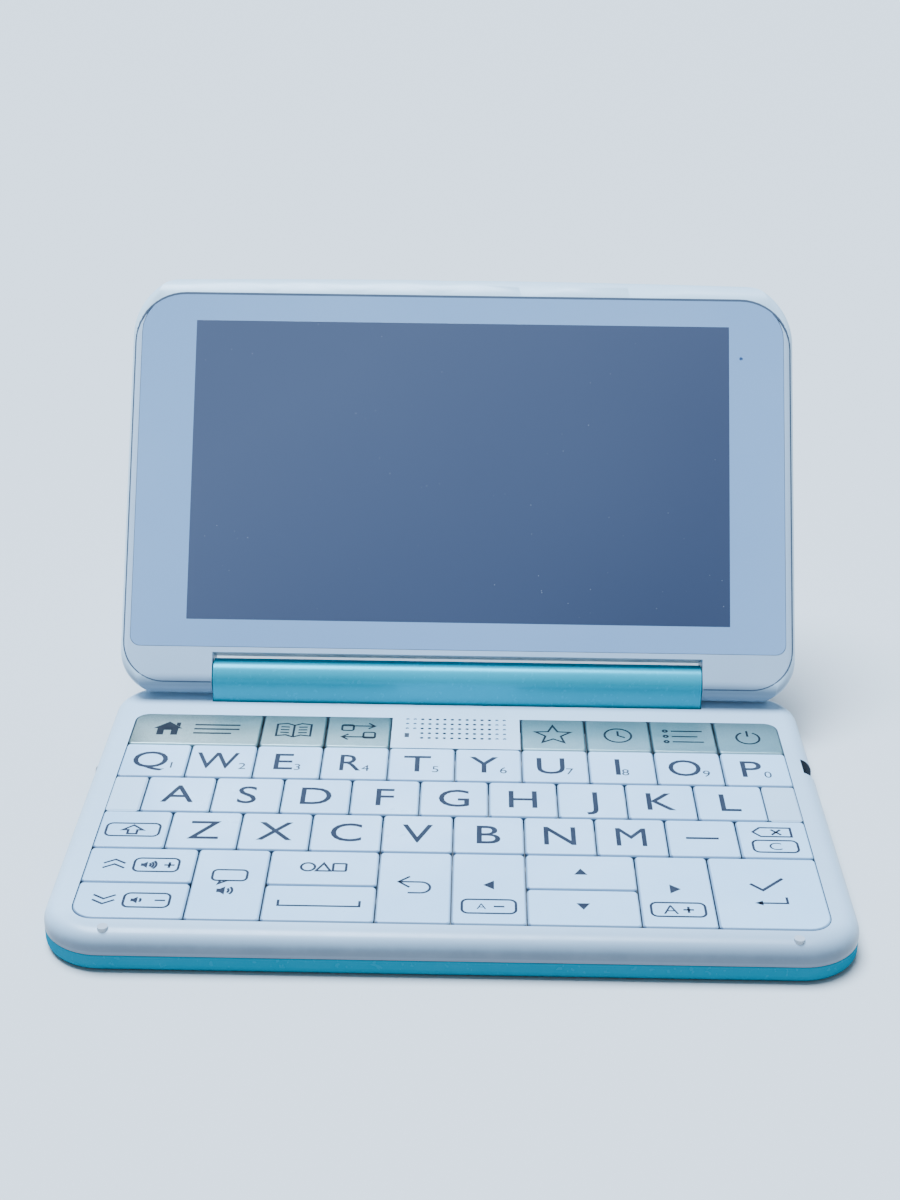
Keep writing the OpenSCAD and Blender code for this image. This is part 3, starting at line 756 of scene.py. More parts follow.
class Pen:
    """Draws flat markings, in millimetres around a key's middle, as thin faces on its top."""

    cap_share: float = 0.0

    def __init__(self, centre: Vector, width: float = 0.5) -> None:
        """Starts a drawing.

        Args:
            centre: the middle of the key's top, in metres.
            width: the width of its lines, in millimetres.
        """
        self.centre = centre
        self.width = width
        self.mesh = bmesh.new()

    def _vert(self, x: float, y: float) -> BMVert:
        """A vertex at a place on the key's top."""
        return self.mesh.verts.new(self.centre + Vector((x, y, 0)) * MM)

    def fill(self, points: Iterable[Point]) -> None:
        """Fills a closed outline."""
        self.mesh.faces.new([self._vert(x, y) for x, y in points])

    def line(self, points: Sequence[Point], closed: bool = False) -> None:
        """Draws a line with mitred corners.

        Args:
            points: the points that it follows.
            closed: whether it returns to its start.
        """
        count = len(points)
        sides = []
        for i, (x, y) in enumerate(points):
            back = Vector(points[i - 1]) if closed or i else None
            ahead = Vector(points[(i + 1) % count]) if closed or i < count - 1 else None
            here = Vector((x, y))
            incoming = (here - back).normalized() if back is not None else (ahead - here).normalized()
            outgoing = (ahead - here).normalized() if ahead is not None else incoming
            middle = (incoming + outgoing).normalized()
            side = Vector((-middle.y, middle.x)) * self.width / 2 / max(middle.dot(incoming), 0.35)
            sides.append((self._vert(*(here + side)), self._vert(*(here - side))))
        for i in range(count if closed else count - 1):
            (left, right), (next_left, next_right) = sides[i], sides[(i + 1) % count]
            self.mesh.faces.new((right, next_right, next_left, left))

    def arc(self, centre: Point, radius: float, start: float, end: float, steps: int = 20) -> None:
        """Draws part of a circle.

        Args:
            centre: its centre.
            radius: its radius.
            start: where it starts, in degrees.
            end: where it ends, in degrees.
            steps: segments in it.
        """
        turns = [math.radians(start + (end - start) * i / steps) for i in range(steps + 1)]
        points = [polar(radius, turn, centre) for turn in turns]
        full = abs(end - start) >= 360
        self.line(points[:-1] if full else points, closed=full)

    def frame(self, centre: Point, width: float, height: float, radius: float = 1.2) -> None:
        """Draws a box with rounded corners.

        Args:
            centre: its middle.
            width: its width.
            height: its height.
            radius: the radius of its corners.
        """
        low = (centre[0] - width / 2, centre[1] - height / 2)
        high = (centre[0] + width / 2, centre[1] + height / 2)
        self.line(rounded_outline(low, high, [radius] * 4, 5), closed=True)

    def nib(self, width: float) -> None:
        """Changes the width of the lines."""
        self.width = width

    def speaker(self, at: Point, waves: int, size: float) -> None:
        """Draws a small loudspeaker.

        Args:
            at: the middle of its box.
            waves: how many waves leave it.
            size: its size, 1 being 2.6 mm high.
        """
        (x, y), half = at, 0.55 * size
        back, neck, mouth, reach = x - 1.3 * size, x - 0.7 * size, x + 0.2 * size, 1.3 * size
        self.fill([
            (back, y - half), (neck, y - half), (mouth, y - reach), (mouth, y + reach), (neck, y + half),
            (back, y + half),
        ])
        for wave in range(waves):
            self.arc((x - 0.1 * size, y), (1.0 + 0.65 * wave) * size, -42, 42, 8)

    def text(
        self, words: str, height: float, centre: Point, stretch: float = 1.0, weight: float = 0.0
    ) -> None:
        """Sets plain letters or figures.

        Args:
            words: the characters.
            height: the height of a capital, in millimetres.
            centre: the middle of what they cover.
            stretch: how much wider than usual they are.
            weight: how far their outlines are moved out, in letter sizes.
        """
        if not Pen.cap_share:
            Pen.cap_share = max(v.co.y for v in self._glyphs("H", 0.0).vertices)
        glyphs = self._glyphs(words, weight)
        size = height / Pen.cap_share
        xs = [v.co.x for v in glyphs.vertices]
        middle = (min(xs) + max(xs)) / 2
        first = len(self.mesh.verts)
        self.mesh.from_mesh(glyphs)
        self.mesh.verts.ensure_lookup_table()
        for vert in self.mesh.verts[first:]:
            x = (vert.co.x - middle) * size * stretch + centre[0]
            y = vert.co.y * size - height / 2 + centre[1]
            vert.co = self.centre + Vector((x, y, 0)) * MM
        bpy.data.meshes.remove(glyphs)

    @staticmethod
    def _glyphs(words: str, weight: float) -> Mesh:
        """Makes the plain outlines of some characters.

        Args:
            words: the characters.
            weight: how far their outlines are moved out.

        Returns:
            A flat mesh.
        """
        curve = bpy.data.curves.new("glyphs", "FONT")
        curve.body = words
        curve.resolution_u = 4
        curve.offset = weight
        letters = add_object("glyphs", curve)
        graph = bpy.context.evaluated_depsgraph_get()
        flat = bpy.data.meshes.new_from_object(letters.evaluated_get(graph))
        bpy.data.objects.remove(letters)
        bpy.data.curves.remove(curve)
        return flat


# ---- sub-assemblies


class Corner(Enum):
    """The keys in the corners of the recess, and which corner of their plan lies there."""

    PAGE_DOWN = 0
    ENTER = 1
    POWER = 2
    HOME = 3


@dataclass
class KeyCap:
    """One key's cap: a plate with straight sides and a soft bevel around its top."""

    node: str
    corner_mm: float = 0.8
    rear_recess_mm: float = 2.85
    front_recess_mm: float = 4.35
    bevel_mm: float = 0.34
    edge_share: float = 0.16
    skirt_mm: float = 1.6
    ink_mm: float = 0.012

    def radii(self) -> list[float]:
        """Finds the radii of the plan.

        Returns:
            The radii in millimetres, front left first, anticlockwise.
        """
        radii = [self.corner_mm] * 4
        corner = Corner.__members__.get(self.node[4:].upper())
        if corner in (Corner.PAGE_DOWN, Corner.ENTER):
            radii[corner.value] = self.front_recess_mm
        elif corner:
            radii[corner.value] = self.rear_recess_mm
        return radii

    def ring(self, inset_mm: float, height: float) -> list[Vector]:
        """Draws the plan at one height.

        Args:
            inset_mm: how far it is drawn in.
            height: the height, in metres.

        Returns:
            The ring of points.
        """
        low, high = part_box(self.node)
        inset = inset_mm * MM
        radii = [max(r - inset_mm, 0.15) * MM for r in self.radii()]
        plan = rounded_outline((low.x + inset, low.y + inset), (high.x - inset, high.y - inset), radii)
        return [Vector((x, y, height)) for x, y in plan]

    def build(self, material: Material) -> None:
        """Builds the cap in place of its node.

        Args:
            material: its finish.
        """
        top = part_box(self.node)[1].z
        rings = [self.ring(0, top - self.skirt_mm * MM)]
        soft, full = self.edge_share * self.bevel_mm, self.bevel_mm
        for inset, drop in ((0.0, full), (soft / 3, full - soft), (full - soft, soft / 3), (full, 0.0)):
            rings.append(self.ring(inset, top - drop * MM))
        cap = loft(f"cap_{self.node[4:]}", rings, material, smooth=True)
        cap.data.polygons[len(cap.data.polygons) - 1].use_smooth = False
        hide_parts(self.node)
        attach(cap, self.node)

    def middle(self) -> Vector:
        """The middle of the key's top, just above its surface."""
        low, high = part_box(self.node)
        return Vector(((low.x + high.x) / 2, (low.y + high.y) / 2, high.z + self.ink_mm * MM))


class Draw(Enum):
    """What a marking is drawn with: the pen's methods."""

    LINE = "line"
    FILL = "fill"
    ARC = "arc"
    BOX = "frame"
    TEXT = "text"
    SPEAKER = "speaker"
    NIB = "nib"


LINE, FILL, ARC, BOX, TEXT, SPEAKER, NIB = Draw
# One way of drawing, and the values of the pen's method
Stroke = tuple


def volume(side: int, waves: int) -> list[Stroke]:
    """Two chevrons and a boxed loudspeaker with a minus.

    Args:
        side: whether the chevrons point up (1) or down (-1).
        waves: how many waves leave the loudspeaker.

    Returns:
        The strokes.
    """
    low, high = -side * 0.6, side * 0.7
    chevrons = [(LINE, [(-7.1, y + low), (-5.0, y + high), (-2.9, y + low)]) for y in (-0.65, 0.95)]
    box = [(BOX, (3.1, 0.0), 8.6, 4.5), (SPEAKER, (1.2, 0.0), waves, 0.85)]
    return [*chevrons, *box, (LINE, [(4.6, 0), (6.6, 0)])]


def sized_letter(size: float) -> list[Stroke]:
    """A boxed A of a height in millimetres, with a minus."""
    return [(BOX, (0, -6.0), 10.1, 4.4), (TEXT, "A", size, (-1.4, -6.0), 1.05),
            (LINE, [(0.9, -6.0), (2.9, -6.0)])]


HOUSE = [(-2.7, 0.0), (0, 2.5), (2.7, 0.0), (1.9, 0.0), (1.9, -2.3), (0.65, -2.3), (0.65, -0.6),
         (-0.65, -0.6), (-0.65, -2.3), (-1.9, -2.3), (-1.9, 0.0)]
CHIMNEY = [(1.35, 1.3), (2.1, 0.6), (2.1, 2.2), (1.35, 2.2)]
LEAF = [(1.6, 3.0), (3.7, 2.6), (3.7, -2.4), (1.6, -2.0)]
# The markings of the function keys, in millimetres around the middle of each
FUNCTION_MARKS: dict[str, list[Stroke]] = {
    # A house and three lines
    "home": [
        *[(FILL, [(-6.3 + 1.2 * x, 1.2 * y) for x, y in part]) for part in (HOUSE, CHIMNEY)],
        (NIB, 0.6),
        *[(LINE, [(-0.6, y), (end, y)]) for y, end in ((-1.8, 7.7), (0, 9.3), (1.8, 9.3))],
    ],
    # An open book
    "dictionary": [
        *[stroke for side in SIDES for stroke in (
            (LINE, [(0, 2.2), *[(side * x, y) for x, y in LEAF], (0, -2.9)]),
            *[(LINE, [(side * 1.0, y), (side * 2.9, y + 0.1)]) for y in (1.4, 0.2, -1.0)],
        )],
        (LINE, [(0, 2.2), (0, -2.9)]),
    ],
    # Two arrows between two blocks
    "translate": [stroke for side in SIDES for stroke in (
        (LINE, [(-side * 3.7, side * 2.4), (side * 3.5, side * 2.4)]),
        (LINE, [(side * 2.1, side * 3.6), (side * 3.5, side * 2.4), (side * 2.1, side * 1.2)]),
        (BOX, (side * 2.4, -side * 1.6), 2.5, 2.5, 0.5),
    )],
    # A star
    "favourites": [
        (LINE, [polar((4.0, 1.75)[i % 2], math.radians(90 + 36 * i), (0, -0.2)) for i in range(10)], True),
    ],
    # A clock
    "history": [(ARC, (0, 0), 2.9, 0, 360, 28), (LINE, [(0, 1.9), (0, 0), (1.5, -0.9)])],
    # A list
    "contents": [stroke for y, end in ((-2.3, 4.4), (0, 3.2), (2.3, 4.4)) for stroke in (
        (ARC, (-3.7, y), 0.45, 0, 360, 10), (LINE, [(-2.4, y), (end, y)]),
    )],
    # A ring broken by a bar
    "power": [(ARC, (0, -0.2), 2.5, 118, 422, 26), (LINE, [(0, 0.4), (0, 2.9)])],
}
# The markings of the other keys that carry more than a letter
PLAIN_MARKS: dict[str, list[Stroke]] = {
    # An upward arrow in a box
    "shift": [
        (BOX, (0, -0.3), 10.6, 4.6),
        (LINE, [(-2.0, -0.4), (0, 1.3), (2.0, -0.4), (0.9, -0.4), (0.9, -1.8), (-0.9, -1.8),
                (-0.9, -0.4)], True),
    ],
    # A long dash
    "dash": [(NIB, 0.72), (LINE, [(-3.25, 0), (3.25, 0)])],
    # A crossed tag over a boxed C
    "delete": [
        (LINE, [(-3.9, 2.6), (-2.4, 4.2), (3.7, 4.2), (3.7, 1.0), (-2.4, 1.0)], True),
        *[(LINE, [(-0.2, 2.6 - side * 0.95), (1.7, 2.6 + side * 0.95)]) for side in SIDES],
        (BOX, (0, -2.5), 8.8, 4.2),
        (TEXT, "C", 2.5, (0, -2.5), 1.1),
    ],
    # Louder, with the upright of a plus
    "page_up": [*volume(1, 3), (LINE, [(5.6, -1.0), (5.6, 1.0)])],
    # Quieter
    "page_down": volume(-1, 1),
    # A speech bubble over a loudspeaker
    "voice": [
        (BOX, (0, 2.8), 6.6, 3.6, 1.0),
        (LINE, [(-1.6, 1.0), (-1.9, -0.1), (-0.3, 1.0)]),
        (SPEAKER, (-0.6, -2.3), 2, 1.05),
    ],
    # A ring, a triangle and a square
    "symbol": [
        (ARC, (-3.0, 0.2), 1.35, 0, 360, 18),
        (LINE, [(-1.4, -1.1), (0, 1.5), (1.4, -1.1)], True),
        (BOX, (3.1, 0.2), 2.5, 2.5, 0.2),
    ],
    # A wide bracket
    "space": [(LINE, [(-7.6, 0.9), (-7.6, -0.9), (7.6, -0.9), (7.6, 0.9)])],
    # An arrow that turns back
    "back": [
        (LINE, [(-0.9, 3.4), (-3.0, 1.6), (-0.9, -0.2)]),
        (LINE, [(-3.0, 1.6), (1.2, 1.6)]),
        (ARC, (1.2, -0.2), 1.8, 90, -90, 10),
        (LINE, [(1.2, -2.0), (-1.2, -2.0)]),
    ],
    # Arrows, two of them over smaller and larger print
    "left": [(FILL, [(-1.1, 1.0), (1.0, -0.5), (1.0, 2.5)]), *sized_letter(1.8)],
    "right": [
        (FILL, [(1.1, 0.7), (-1.0, 2.2), (-1.0, -0.8)]),
        *sized_letter(2.8),
        (LINE, [(1.9, -7.0), (1.9, -5.0)]),
    ],
    "up": [(FILL, [(0, 1.2), (-1.3, -0.9), (1.3, -0.9)])],
    "down": [(FILL, [(0, -0.7), (1.3, 1.4), (-1.3, 1.4)])],
    # A tick over a return arrow
    "enter": [
        (NIB, 0.66),
        (LINE, [(-3.2, 2.9), (-1.0, 0.8), (3.2, 4.8)]),
        (NIB, 0.5),
        (LINE, [(3.1, -1.4), (3.1, -3.4), (-2.4, -3.4)]),
        (FILL, [(-3.1, -3.4), (-1.5, -4.2), (-1.5, -2.6)]),
    ],
}


@dataclass
class Keyboard:
    """The keys: their caps and what is printed on them."""

    letter_mm: float = 6.4
    letter_weight: float = 0.003
    letter_stretch: float = 1.06
    narrowed: dict[str, float] = field(default_factory=lambda: {"W": 0.86, "R": 0.84, "O": 0.93, "M": 0.95})
    shared_at_mm: Point = (-0.9, 0.1)
    digit_mm: float = 2.4
    digit_low_mm: float = -2.05
    pair_gap_mm: float = 1.0
    top_row: str = "qwertyuiop"
    figures: str = "1234567890"

    def build(self, nodes: Iterable[str]) -> None:
        """Builds every key.

        Args:
            nodes: the frame's nodes.
        """
        letters = KeyLacquer().material()
        metal = MetalKeyLacquer().material()
        ink = KeyInk().material()
        dark_ink = KeyInk("function_ink", (0.004, 0.007, 0.013), (0.008, 0.012, 0.020)).material()
        for node in sorted(nodes):
            if not node.startswith("key_") or node == "key_mat":
                continue
            name = node[4:]
            cap = KeyCap(node)
            special = name in FUNCTION_MARKS
            cap.build(metal if special else letters)
            pen = Pen(cap.middle())
            self.mark(pen, name)
            marking = new_object(f"marking_{name}", pen.mesh, dark_ink if special else ink, smooth=False)
            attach(marking, node)
            LOG.info("key %s", name)

    def mark(self, pen: Pen, name: str) -> None:
        """Prints one key.

        Args:
            pen: the pen on its top.
            name: the key's name, without its prefix.
        """
        if len(name) > 1:
            for stroke, *values in (FUNCTION_MARKS | PLAIN_MARKS)[name]:
                getattr(pen, stroke.value)(*values)
        elif name in self.top_row:
            self.letter(pen, name.upper(), self.shared_at_mm)
            right = max((v.co.x - pen.centre.x) / MM for v in pen.mesh.verts)
            figure = self.figures[self.top_row.index(name)]
            pen.text(figure, self.digit_mm, (right + self.pair_gap_mm, self.digit_low_mm))
        else:
            self.letter(pen, name.upper(), (0, 0))

    def letter(self, pen: Pen, letter: str, at: Point) -> None:
        """Prints one large letter."""
        weight = 0.0 if letter == "M" else self.letter_weight
        pen.text(letter, self.letter_mm, at, self.letter_stretch * self.narrowed.get(letter, 1.0), weight)


@dataclass
class BaseShell:
    """The base: white top case, blue-green lower case, and the small parts set in them."""

    steel: Material
    dark: Material
    screw_side_mm: float = 63.5
    screw_rows_mm: tuple[float, float] = (-46.08, -10.55)
    screw_seat_mm: float = 1.28
    head_mm: float = 1.9
    head_deep_mm: float = 0.7
    slot_mm: float = 0.42
    slot_share: float = 0.62
    top_mm: float = 8.2
    skin_mm: float = 1.2
    bay_back_mm: float = 9.04
    cloth_half_mm: float = 12.5
    hole_step_mm: Point = (1.635, 2.05)
    side_mm: float = 76.2
    socket_height_mm: float = 4.25
    jack_back_mm: float = -10.11
    port_back_mm: float = -26.11
    stylus_at_mm: Point = (73.2, 4.25)
    stylus_room_mm: float = 1.92
    notch_back_mm: float = -5.47
    notch_side_mm: float = 73.55
    sheet_mm: float = 0.06
    rim_from_mm: float = 72.6
    rim_half_mm: Point = (3.55, 3.9)

    def dress(self, nodes: dict[str, Object], white: Material, pearl: Material) -> None:
        """Gives the CAD pieces of the base their finishes.

        Args:
            nodes: the frame's nodes.
            white: the case lacquer.
            pearl: the blue-green lacquer.
        """
        dress(nodes, {
            "base_top_case": white,
            "base_bottom_case": pearl,
            "rubber_pads": Plain.PADS.material(),
            "key_mat": Plain.MAT.material(),
            "main_board": BoardPrint().material(),
            "battery": Plain.POUCH.material(),
        })

    def build(self) -> None:
        """Makes the parts that the cases hold."""
        for end, row in enumerate(self.screw_rows_mm):
            for side in SIDES:
                name = f"case_screw_{end}_{'l' if side < 0 else 'r'}"
                self.screw(name, (side * self.screw_side_mm, row))
        self.cloth()
        self.lens()
        self.jack()
        self.port()
        self.notch()

    def screw(self, name: str, at: Point) -> None:
        """Sets one cross-head screw in its recess in the underside.

        Args:
            name: its name.
            at: its place across and front to back, in millimetres.
        """
        seat, head, low = self.screw_seat_mm, self.head_mm, self.screw_seat_mm - self.head_deep_mm
        profile = ((head, seat), (head, low + 0.25), (head - 0.1, low + 0.08), (head - 0.3, low))
        screw = loft(name, [level_ring(circle(radius), z, at) for radius, z in profile], self.steel)
        half, reach = self.slot_mm / 2, head * self.slot_share
        arm = [(half, half), (reach, half), (reach, -half), (half, -half), (half, -reach), (-half, -reach)]
        plus = arm + [(-x, -y) for x, y in arm]
        cut_out(screw, loft("cross", [level_ring(plus, z, at) for z in (low - 0.2, low + 0.4)], self.steel))
        for polygon in screw.data.polygons:
            polygon.use_smooth = False
        hold(screw, "base")

    def plate(self, name: str, low: Place, high: Place, radius: float, slot: str = "pads") -> None:
        """Makes one small level dark plate with rounded corners and a soft upper edge.

        Args:
            name: its name.
            low: its lowest corner, in millimetres.
            high: its highest corner, in millimetres.
            radius: the radius of its corners, in millimetres.
            slot: not used.
        """
        edge = min(0.25 * (high[2] - low[2]), radius / 2)
        rings = []
        for inset, z in ((0.0, low[2]), (0.0, high[2] - edge), (edge, high[2])):
            front, back = (low[0] + inset, low[1] + inset), (high[0] - inset, high[1] - inset)
            rings.append(level_ring(rounded_outline(front, back, [radius - inset] * 4), z))
        hold(loft(name, rings, self.dark), "base")

    def cloth(self) -> None:
        """Lays the dark cloth between the speaker and its holes."""
        under, half = self.top_mm - self.skin_mm, self.cloth_half_mm
        low = (-half, self.bay_back_mm - 10.2, under - 0.08)
        self.plate("speaker_cloth", low, (half, self.bay_back_mm + 0.3, under - 0.02), 1.5)

    def lens(self) -> None:
        """Sets the small dark lens at the front left of the speaker holes."""
        x = -6.5 * self.hole_step_mm[0]
        y = self.bay_back_mm - 3.9 * self.hole_step_mm[1]
        low = (x - 0.46, y + 0.04, self.top_mm - 0.4)
        self.plate("light_lens", low, (x + 0.46, y + 1.76, self.top_mm - 0.03), 0.3, "display")

    def jack(self) -> None:
        """Lines the round socket in the left side with a thin sleeve."""
        rings = []
        for radius, depth in ((1.76, 2.8), (1.76, 0.1), (1.5, 0.02), (1.4, 0.12), (1.4, 2.8)):
            ring = ((self.jack_back_mm + a, self.socket_height_mm + b) for a, b in circle(radius))
            rings.append([Vector((-self.side_mm + depth, y, z)) * MM for y, z in ring])
        hold(loft("jack_sleeve", rings, self.steel, smooth=True, capped=False), "base")

    def notch(self) -> None:
        """Lines the rear wall of the finger notch, around the stylus's channel, with a dark sheet: painted
        shade standing in for the notch's dark depth.
        """
        (side, level), (wide, high), steps = self.stylus_at_mm, self.rim_half_mm, 8
        rim_end = math.acos((self.notch_side_mm - self.rim_from_mm) / wide)
        room_end = math.acos((self.notch_side_mm - side) / self.stylus_room_mm)
        section = []
        for step in range(steps + 1):
            turn = rim_end * step / steps
            section.append((self.rim_from_mm + wide * math.cos(turn), level + high * math.sin(turn)))
        for step in range(steps, -1, -1):
            section.append(polar(self.stylus_room_mm, room_end * step / steps, self.stylus_at_mm))
        rows = (self.notch_back_mm, self.notch_back_mm - self.sheet_mm)
        rings = [[Vector((x, y, z)) * MM for x, z in section] for y in rows]
        # A dark sheet put where the notch only has shade
        hold(loft("notch_shade_sheet", rings, self.dark), "base")

    def port(self) -> None:
        """Sets the contact tongue in the flat socket in the left side."""
        low = (-self.side_mm + 0.7, self.port_back_mm - 2.7, self.socket_height_mm - 0.3)
        high = (-self.side_mm + 3.0, self.port_back_mm + 2.7, self.socket_height_mm + 0.3)
        self.plate("port_tongue", low, high, 0.4)


@dataclass
class Lid:
    """The display lid: its rim, its back cover, the printed window and the dark screen behind it."""

    open_deg: float = 123.5
    half_mm: float = 7.9
    screen_width_mm: float = 121.8
    screen_height_mm: float = 69.1
    screen_from_hinge_mm: float = 16.2
    sheet_mm: float = 0.012
    # How far the dark strip over the joint, painted shade, reaches under and over the face
    joint_shade_mm: Point = (-0.015, 0.12)
    half_width_mm: float = 75.6
    free_mm: float = -92.95
    end_soft_mm: float = 5.3
    side_soft_mm: float = 2.0
    corner_mm: float = 15.0
    ear_mm: float = 54.85
    line_steps: int = 12
    line_outer: tuple[Point, Point, float, float] = ((-74.98, -87.95), (74.98, 1.95), 11.6, 9.4)
    line_inner: tuple[Point, Point, float, float] = ((-74.60, -87.42), (74.60, 1.68), 11.1, 9.0)

    def axis(self) -> Vector:
        """A point on the lid's hinge axis."""
        low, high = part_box("hinge_barrel")
        return Vector((0, (low.y + high.y) / 2, high.z - (high.y - low.y) / 2))

    def place(self, x: float, y: float, z: float) -> Vector:
        """A point of the shut lid, in millimetres from its axis, where the open lid has it."""
        turned = Matrix.Rotation(-math.radians(self.open_deg), 3, "X") @ Vector((x, y, z)) * MM
        return self.axis() + turned

    def face(self, x: float, y: float) -> float:
        """Height of the shut lid's lower face at a place, in millimetres from its axis.

        Args:
            x: the place across.
            y: the place from the hinge's axis.

        Returns:
            The height, which is lowest on the flat face.
        """
        half = self.half_mm / 2
        if y > 0:
            return -math.sqrt(half ** 2 - y ** 2)
        to_side = self.half_width_mm - abs(x)
        beyond = (abs(x) - self.half_width_mm + self.corner_mm, self.free_mm + self.corner_mm - y)
        if min(beyond) > 0:
            to_side = self.corner_mm - math.hypot(*beyond)
        rises = []
        for soft, near in ((self.side_soft_mm, to_side), (self.end_soft_mm, y - self.free_mm)):
            over = min(max(soft - near, 0.0), soft)
            rises.append(soft - math.sqrt(soft ** 2 - over ** 2))
        return -half + max(rises)

    def line(self, outline: tuple[Point, Point, float, float]) -> list[Point]:
        """Follows one edge of the joint around the front plate.

        Args:
            outline: its front left and back right corners, and its radii at the free end and the hinge.

        Returns:
            The points, from the left ear round to the right one.
        """
        low, high, free_radius, hinge_radius = outline
        points = rounded_outline(low, high, [free_radius] * 2 + [hinge_radius] * 2, self.line_steps)
        last_corner = 3 * (self.line_steps + 1)
        return [(-self.ear_mm, high[1]), *points[last_corner:], *points[:last_corner], (self.ear_mm, high[1])]

    def joint_shade(self, dark: Material) -> None:
        """Lays a thin dark strip over the joint around the front plate: painted shade for its dark line.

        Args:
            dark: its finish.
        """
        under, over = self.joint_shade_mm
        sections = []
        for (x0, y0), (x1, y1) in zip(self.line(self.line_outer), self.line(self.line_inner)):
            outer, inner = self.face(x0, y0), self.face(x1, y1)
            corners = ((x0, y0, outer + under), (x1, y1, inner + under),
                       (x1, y1, inner + over), (x0, y0, outer + over))
            sections.append([self.place(*corner) for corner in corners])
        hold(loft("plate_joint_shade", sections, dark), "lid")

    def screen(self) -> None:
        """Lays the dark field of the screen on the window, as a thin sheet."""
        far = self.half_mm / 2 - self.screen_from_hinge_mm
        near, half = far - self.screen_height_mm, self.screen_width_mm / 2
        rings = []
        for inset, rise in ((0.0, 0.0), (0.02, self.sheet_mm)):
            plan = rounded_outline((-half + inset, near + inset), (half - inset, far - inset), [0.15] * 4, 3)
            rings.append([self.place(x, y, -self.half_mm / 2 - rise) for x, y in plan])
        hold(loft("screen_field", rings, DarkScreen().material()), "lid")

    def dress(self, nodes: dict[str, Object]) -> None:
        """Gives the lid's CAD pieces their finishes.

        Args:
            nodes: the frame's nodes.
        """
        # Lit and shaded copies of the case lacquer: darker on the front plate, painted shade, and lighter on
        # the back cover, painted light; their third colours are painted shade as in the case lacquer
        plate = CaseLacquer("plate_lacquer", (0.55, 0.69, 0.82), (0.50, 0.63, 0.75), (0.36, 0.44, 0.52), 0.3)
        cover = CaseLacquer("cover_lacquer", (0.74, 0.92, 1.0), (0.68, 0.86, 0.96), (0.5, 0.66, 0.80))
        dress(nodes, {
            "lid_front_frame": plate.material(),
            "lid_back_cover": cover.material(),
            "display_window": WindowPrint().material(),
            "display_panel": Plain.PANEL.material(),
        })


@dataclass
class HingeBarrel:
    """The barrel between the halves, and its shafts."""

    pearl: Material
    steel: Material

    def dress(self, nodes: dict[str, Object]) -> None:
        """Gives the barrel and the shafts their finishes."""
        dress(nodes, {"hinge_barrel": self.pearl, "hinge_shafts": self.steel})


@dataclass
class StylusPen:
    """The stylus in its channel."""

    plastic: Plain = Plain.STYLUS

    def dress(self, nodes: dict[str, Object]) -> None:
        """Gives the stylus its finish."""
        dress(nodes, {"stylus": self.plastic.material()})


# ---- studio


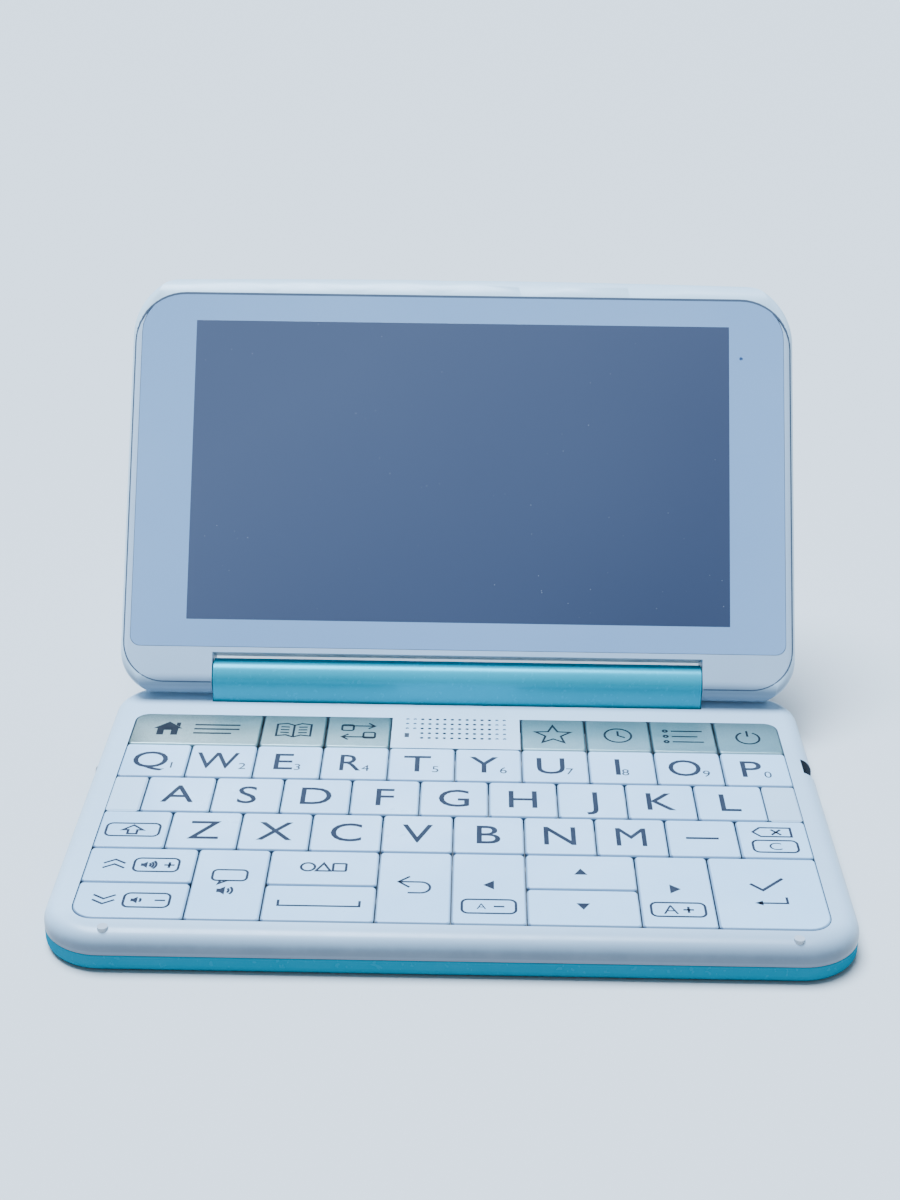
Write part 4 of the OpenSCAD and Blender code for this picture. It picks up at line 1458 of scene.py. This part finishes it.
@dataclass
class Studio:
    """Floor, lights and camera."""

    camera_mm: Place = (2.633, -349.113, 209.072)
    pitch_deg: float = 25.5953
    yaw_deg: float = 0.6801
    roll_deg: float = -0.5912
    focal_px: float = 1856.73
    frame_px: float = 1200.0
    sensor_mm: float = 24.0
    sky: Colour = (0.72, 0.92, 1.16)
    sky_strength: float = 0.34
    key_from: Place = (-0.2, 0.16, 1.0)
    key_tint: Colour = (0.75, 0.97, 1.26)
    key_strength: float = 8.2
    key_spread_deg: float = 34.0
    floor_reach: float = 4.0

    def camera(self) -> None:
        """Sets the camera where the photograph was taken from."""
        data = bpy.data.cameras.new("camera")
        data.sensor_fit = "VERTICAL"
        data.sensor_height = self.sensor_mm
        data.lens = self.focal_px * self.sensor_mm / self.frame_px
        data.clip_start = 0.01
        made = add_object("camera", data)
        place = Matrix.Translation(Vector(self.camera_mm) * MM)
        for degrees, axis in ((self.yaw_deg, "Z"), (-self.pitch_deg, "X"), (self.roll_deg, "Y"), (90, "X")):
            place @= Matrix.Rotation(math.radians(degrees), 4, axis)
        made.matrix_world = place
        bpy.context.scene.camera = made

    def skylight(self) -> None:
        """Lights everything evenly from one wide soft source above, a little behind and to the left."""
        data = bpy.data.lights.new("skylight", "SUN")
        data.energy = self.key_strength
        data.color = self.key_tint
        data.angle = math.radians(self.key_spread_deg)
        made = add_object("skylight", data)
        made.rotation_euler = Vector(self.key_from).to_track_quat("Z", "Y").to_euler()

    def floor(self) -> None:
        """Lays the pale floor."""
        mesh = bmesh.new()
        reach = self.floor_reach
        ring = rounded_outline((-reach, -reach), (reach, reach), [1.0] * 4, 8)
        mesh.faces.new([mesh.verts.new((x, y, 0)) for x, y in ring])
        new_object("studio_floor", mesh, StudioPaper().material(), smooth=False)

    def world(self) -> None:
        """Fills the room with even light."""
        world = bpy.data.worlds.new("studio_world")
        bpy.context.scene.world = world
        world.use_nodes = True
        background = world.node_tree.nodes["Background"]
        background.inputs["Color"].default_value = (*self.sky, 1.0)
        background.inputs["Strength"].default_value = self.sky_strength

    def build(self) -> None:
        """Sets up everything that isn't the object."""
        self.camera()
        self.floor()
        self.world()
        self.skylight()


def main() -> None:
    """Builds the looks in order."""
    logging.basicConfig(level=logging.INFO, format="%(name)s: %(message)s")
    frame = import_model()
    nodes = frame["nodes"]
    Studio().build()
    white = CaseLacquer().material()
    pearl = PearlLacquer().material()
    # A darker copy of the barrel's pearl lacquer for the lower case: painted shade on its upright front band
    shaded_pearl = PearlLacquer("case_pearl_shaded", (0.0, 0.20, 0.29), (0.004, 0.25, 0.35)).material()
    steel = Plain.STEEL.material()
    base = BaseShell(steel, Plain.DARK.material())
    base.dress(nodes, white, shaded_pearl)
    base.build()
    LOG.info("base")
    HingeBarrel(pearl, steel).dress(nodes)
    LOG.info("hinge")
    lid = Lid()
    lid.dress(nodes)
    lid.screen()
    # Painted shade along the joint around the front plate
    lid.joint_shade(Plain.GASKET.material())
    LOG.info("lid")
    StylusPen().dress(nodes)
    LOG.info("stylus")
    Keyboard().build(nodes)


if __name__ == "__main__":
    main()
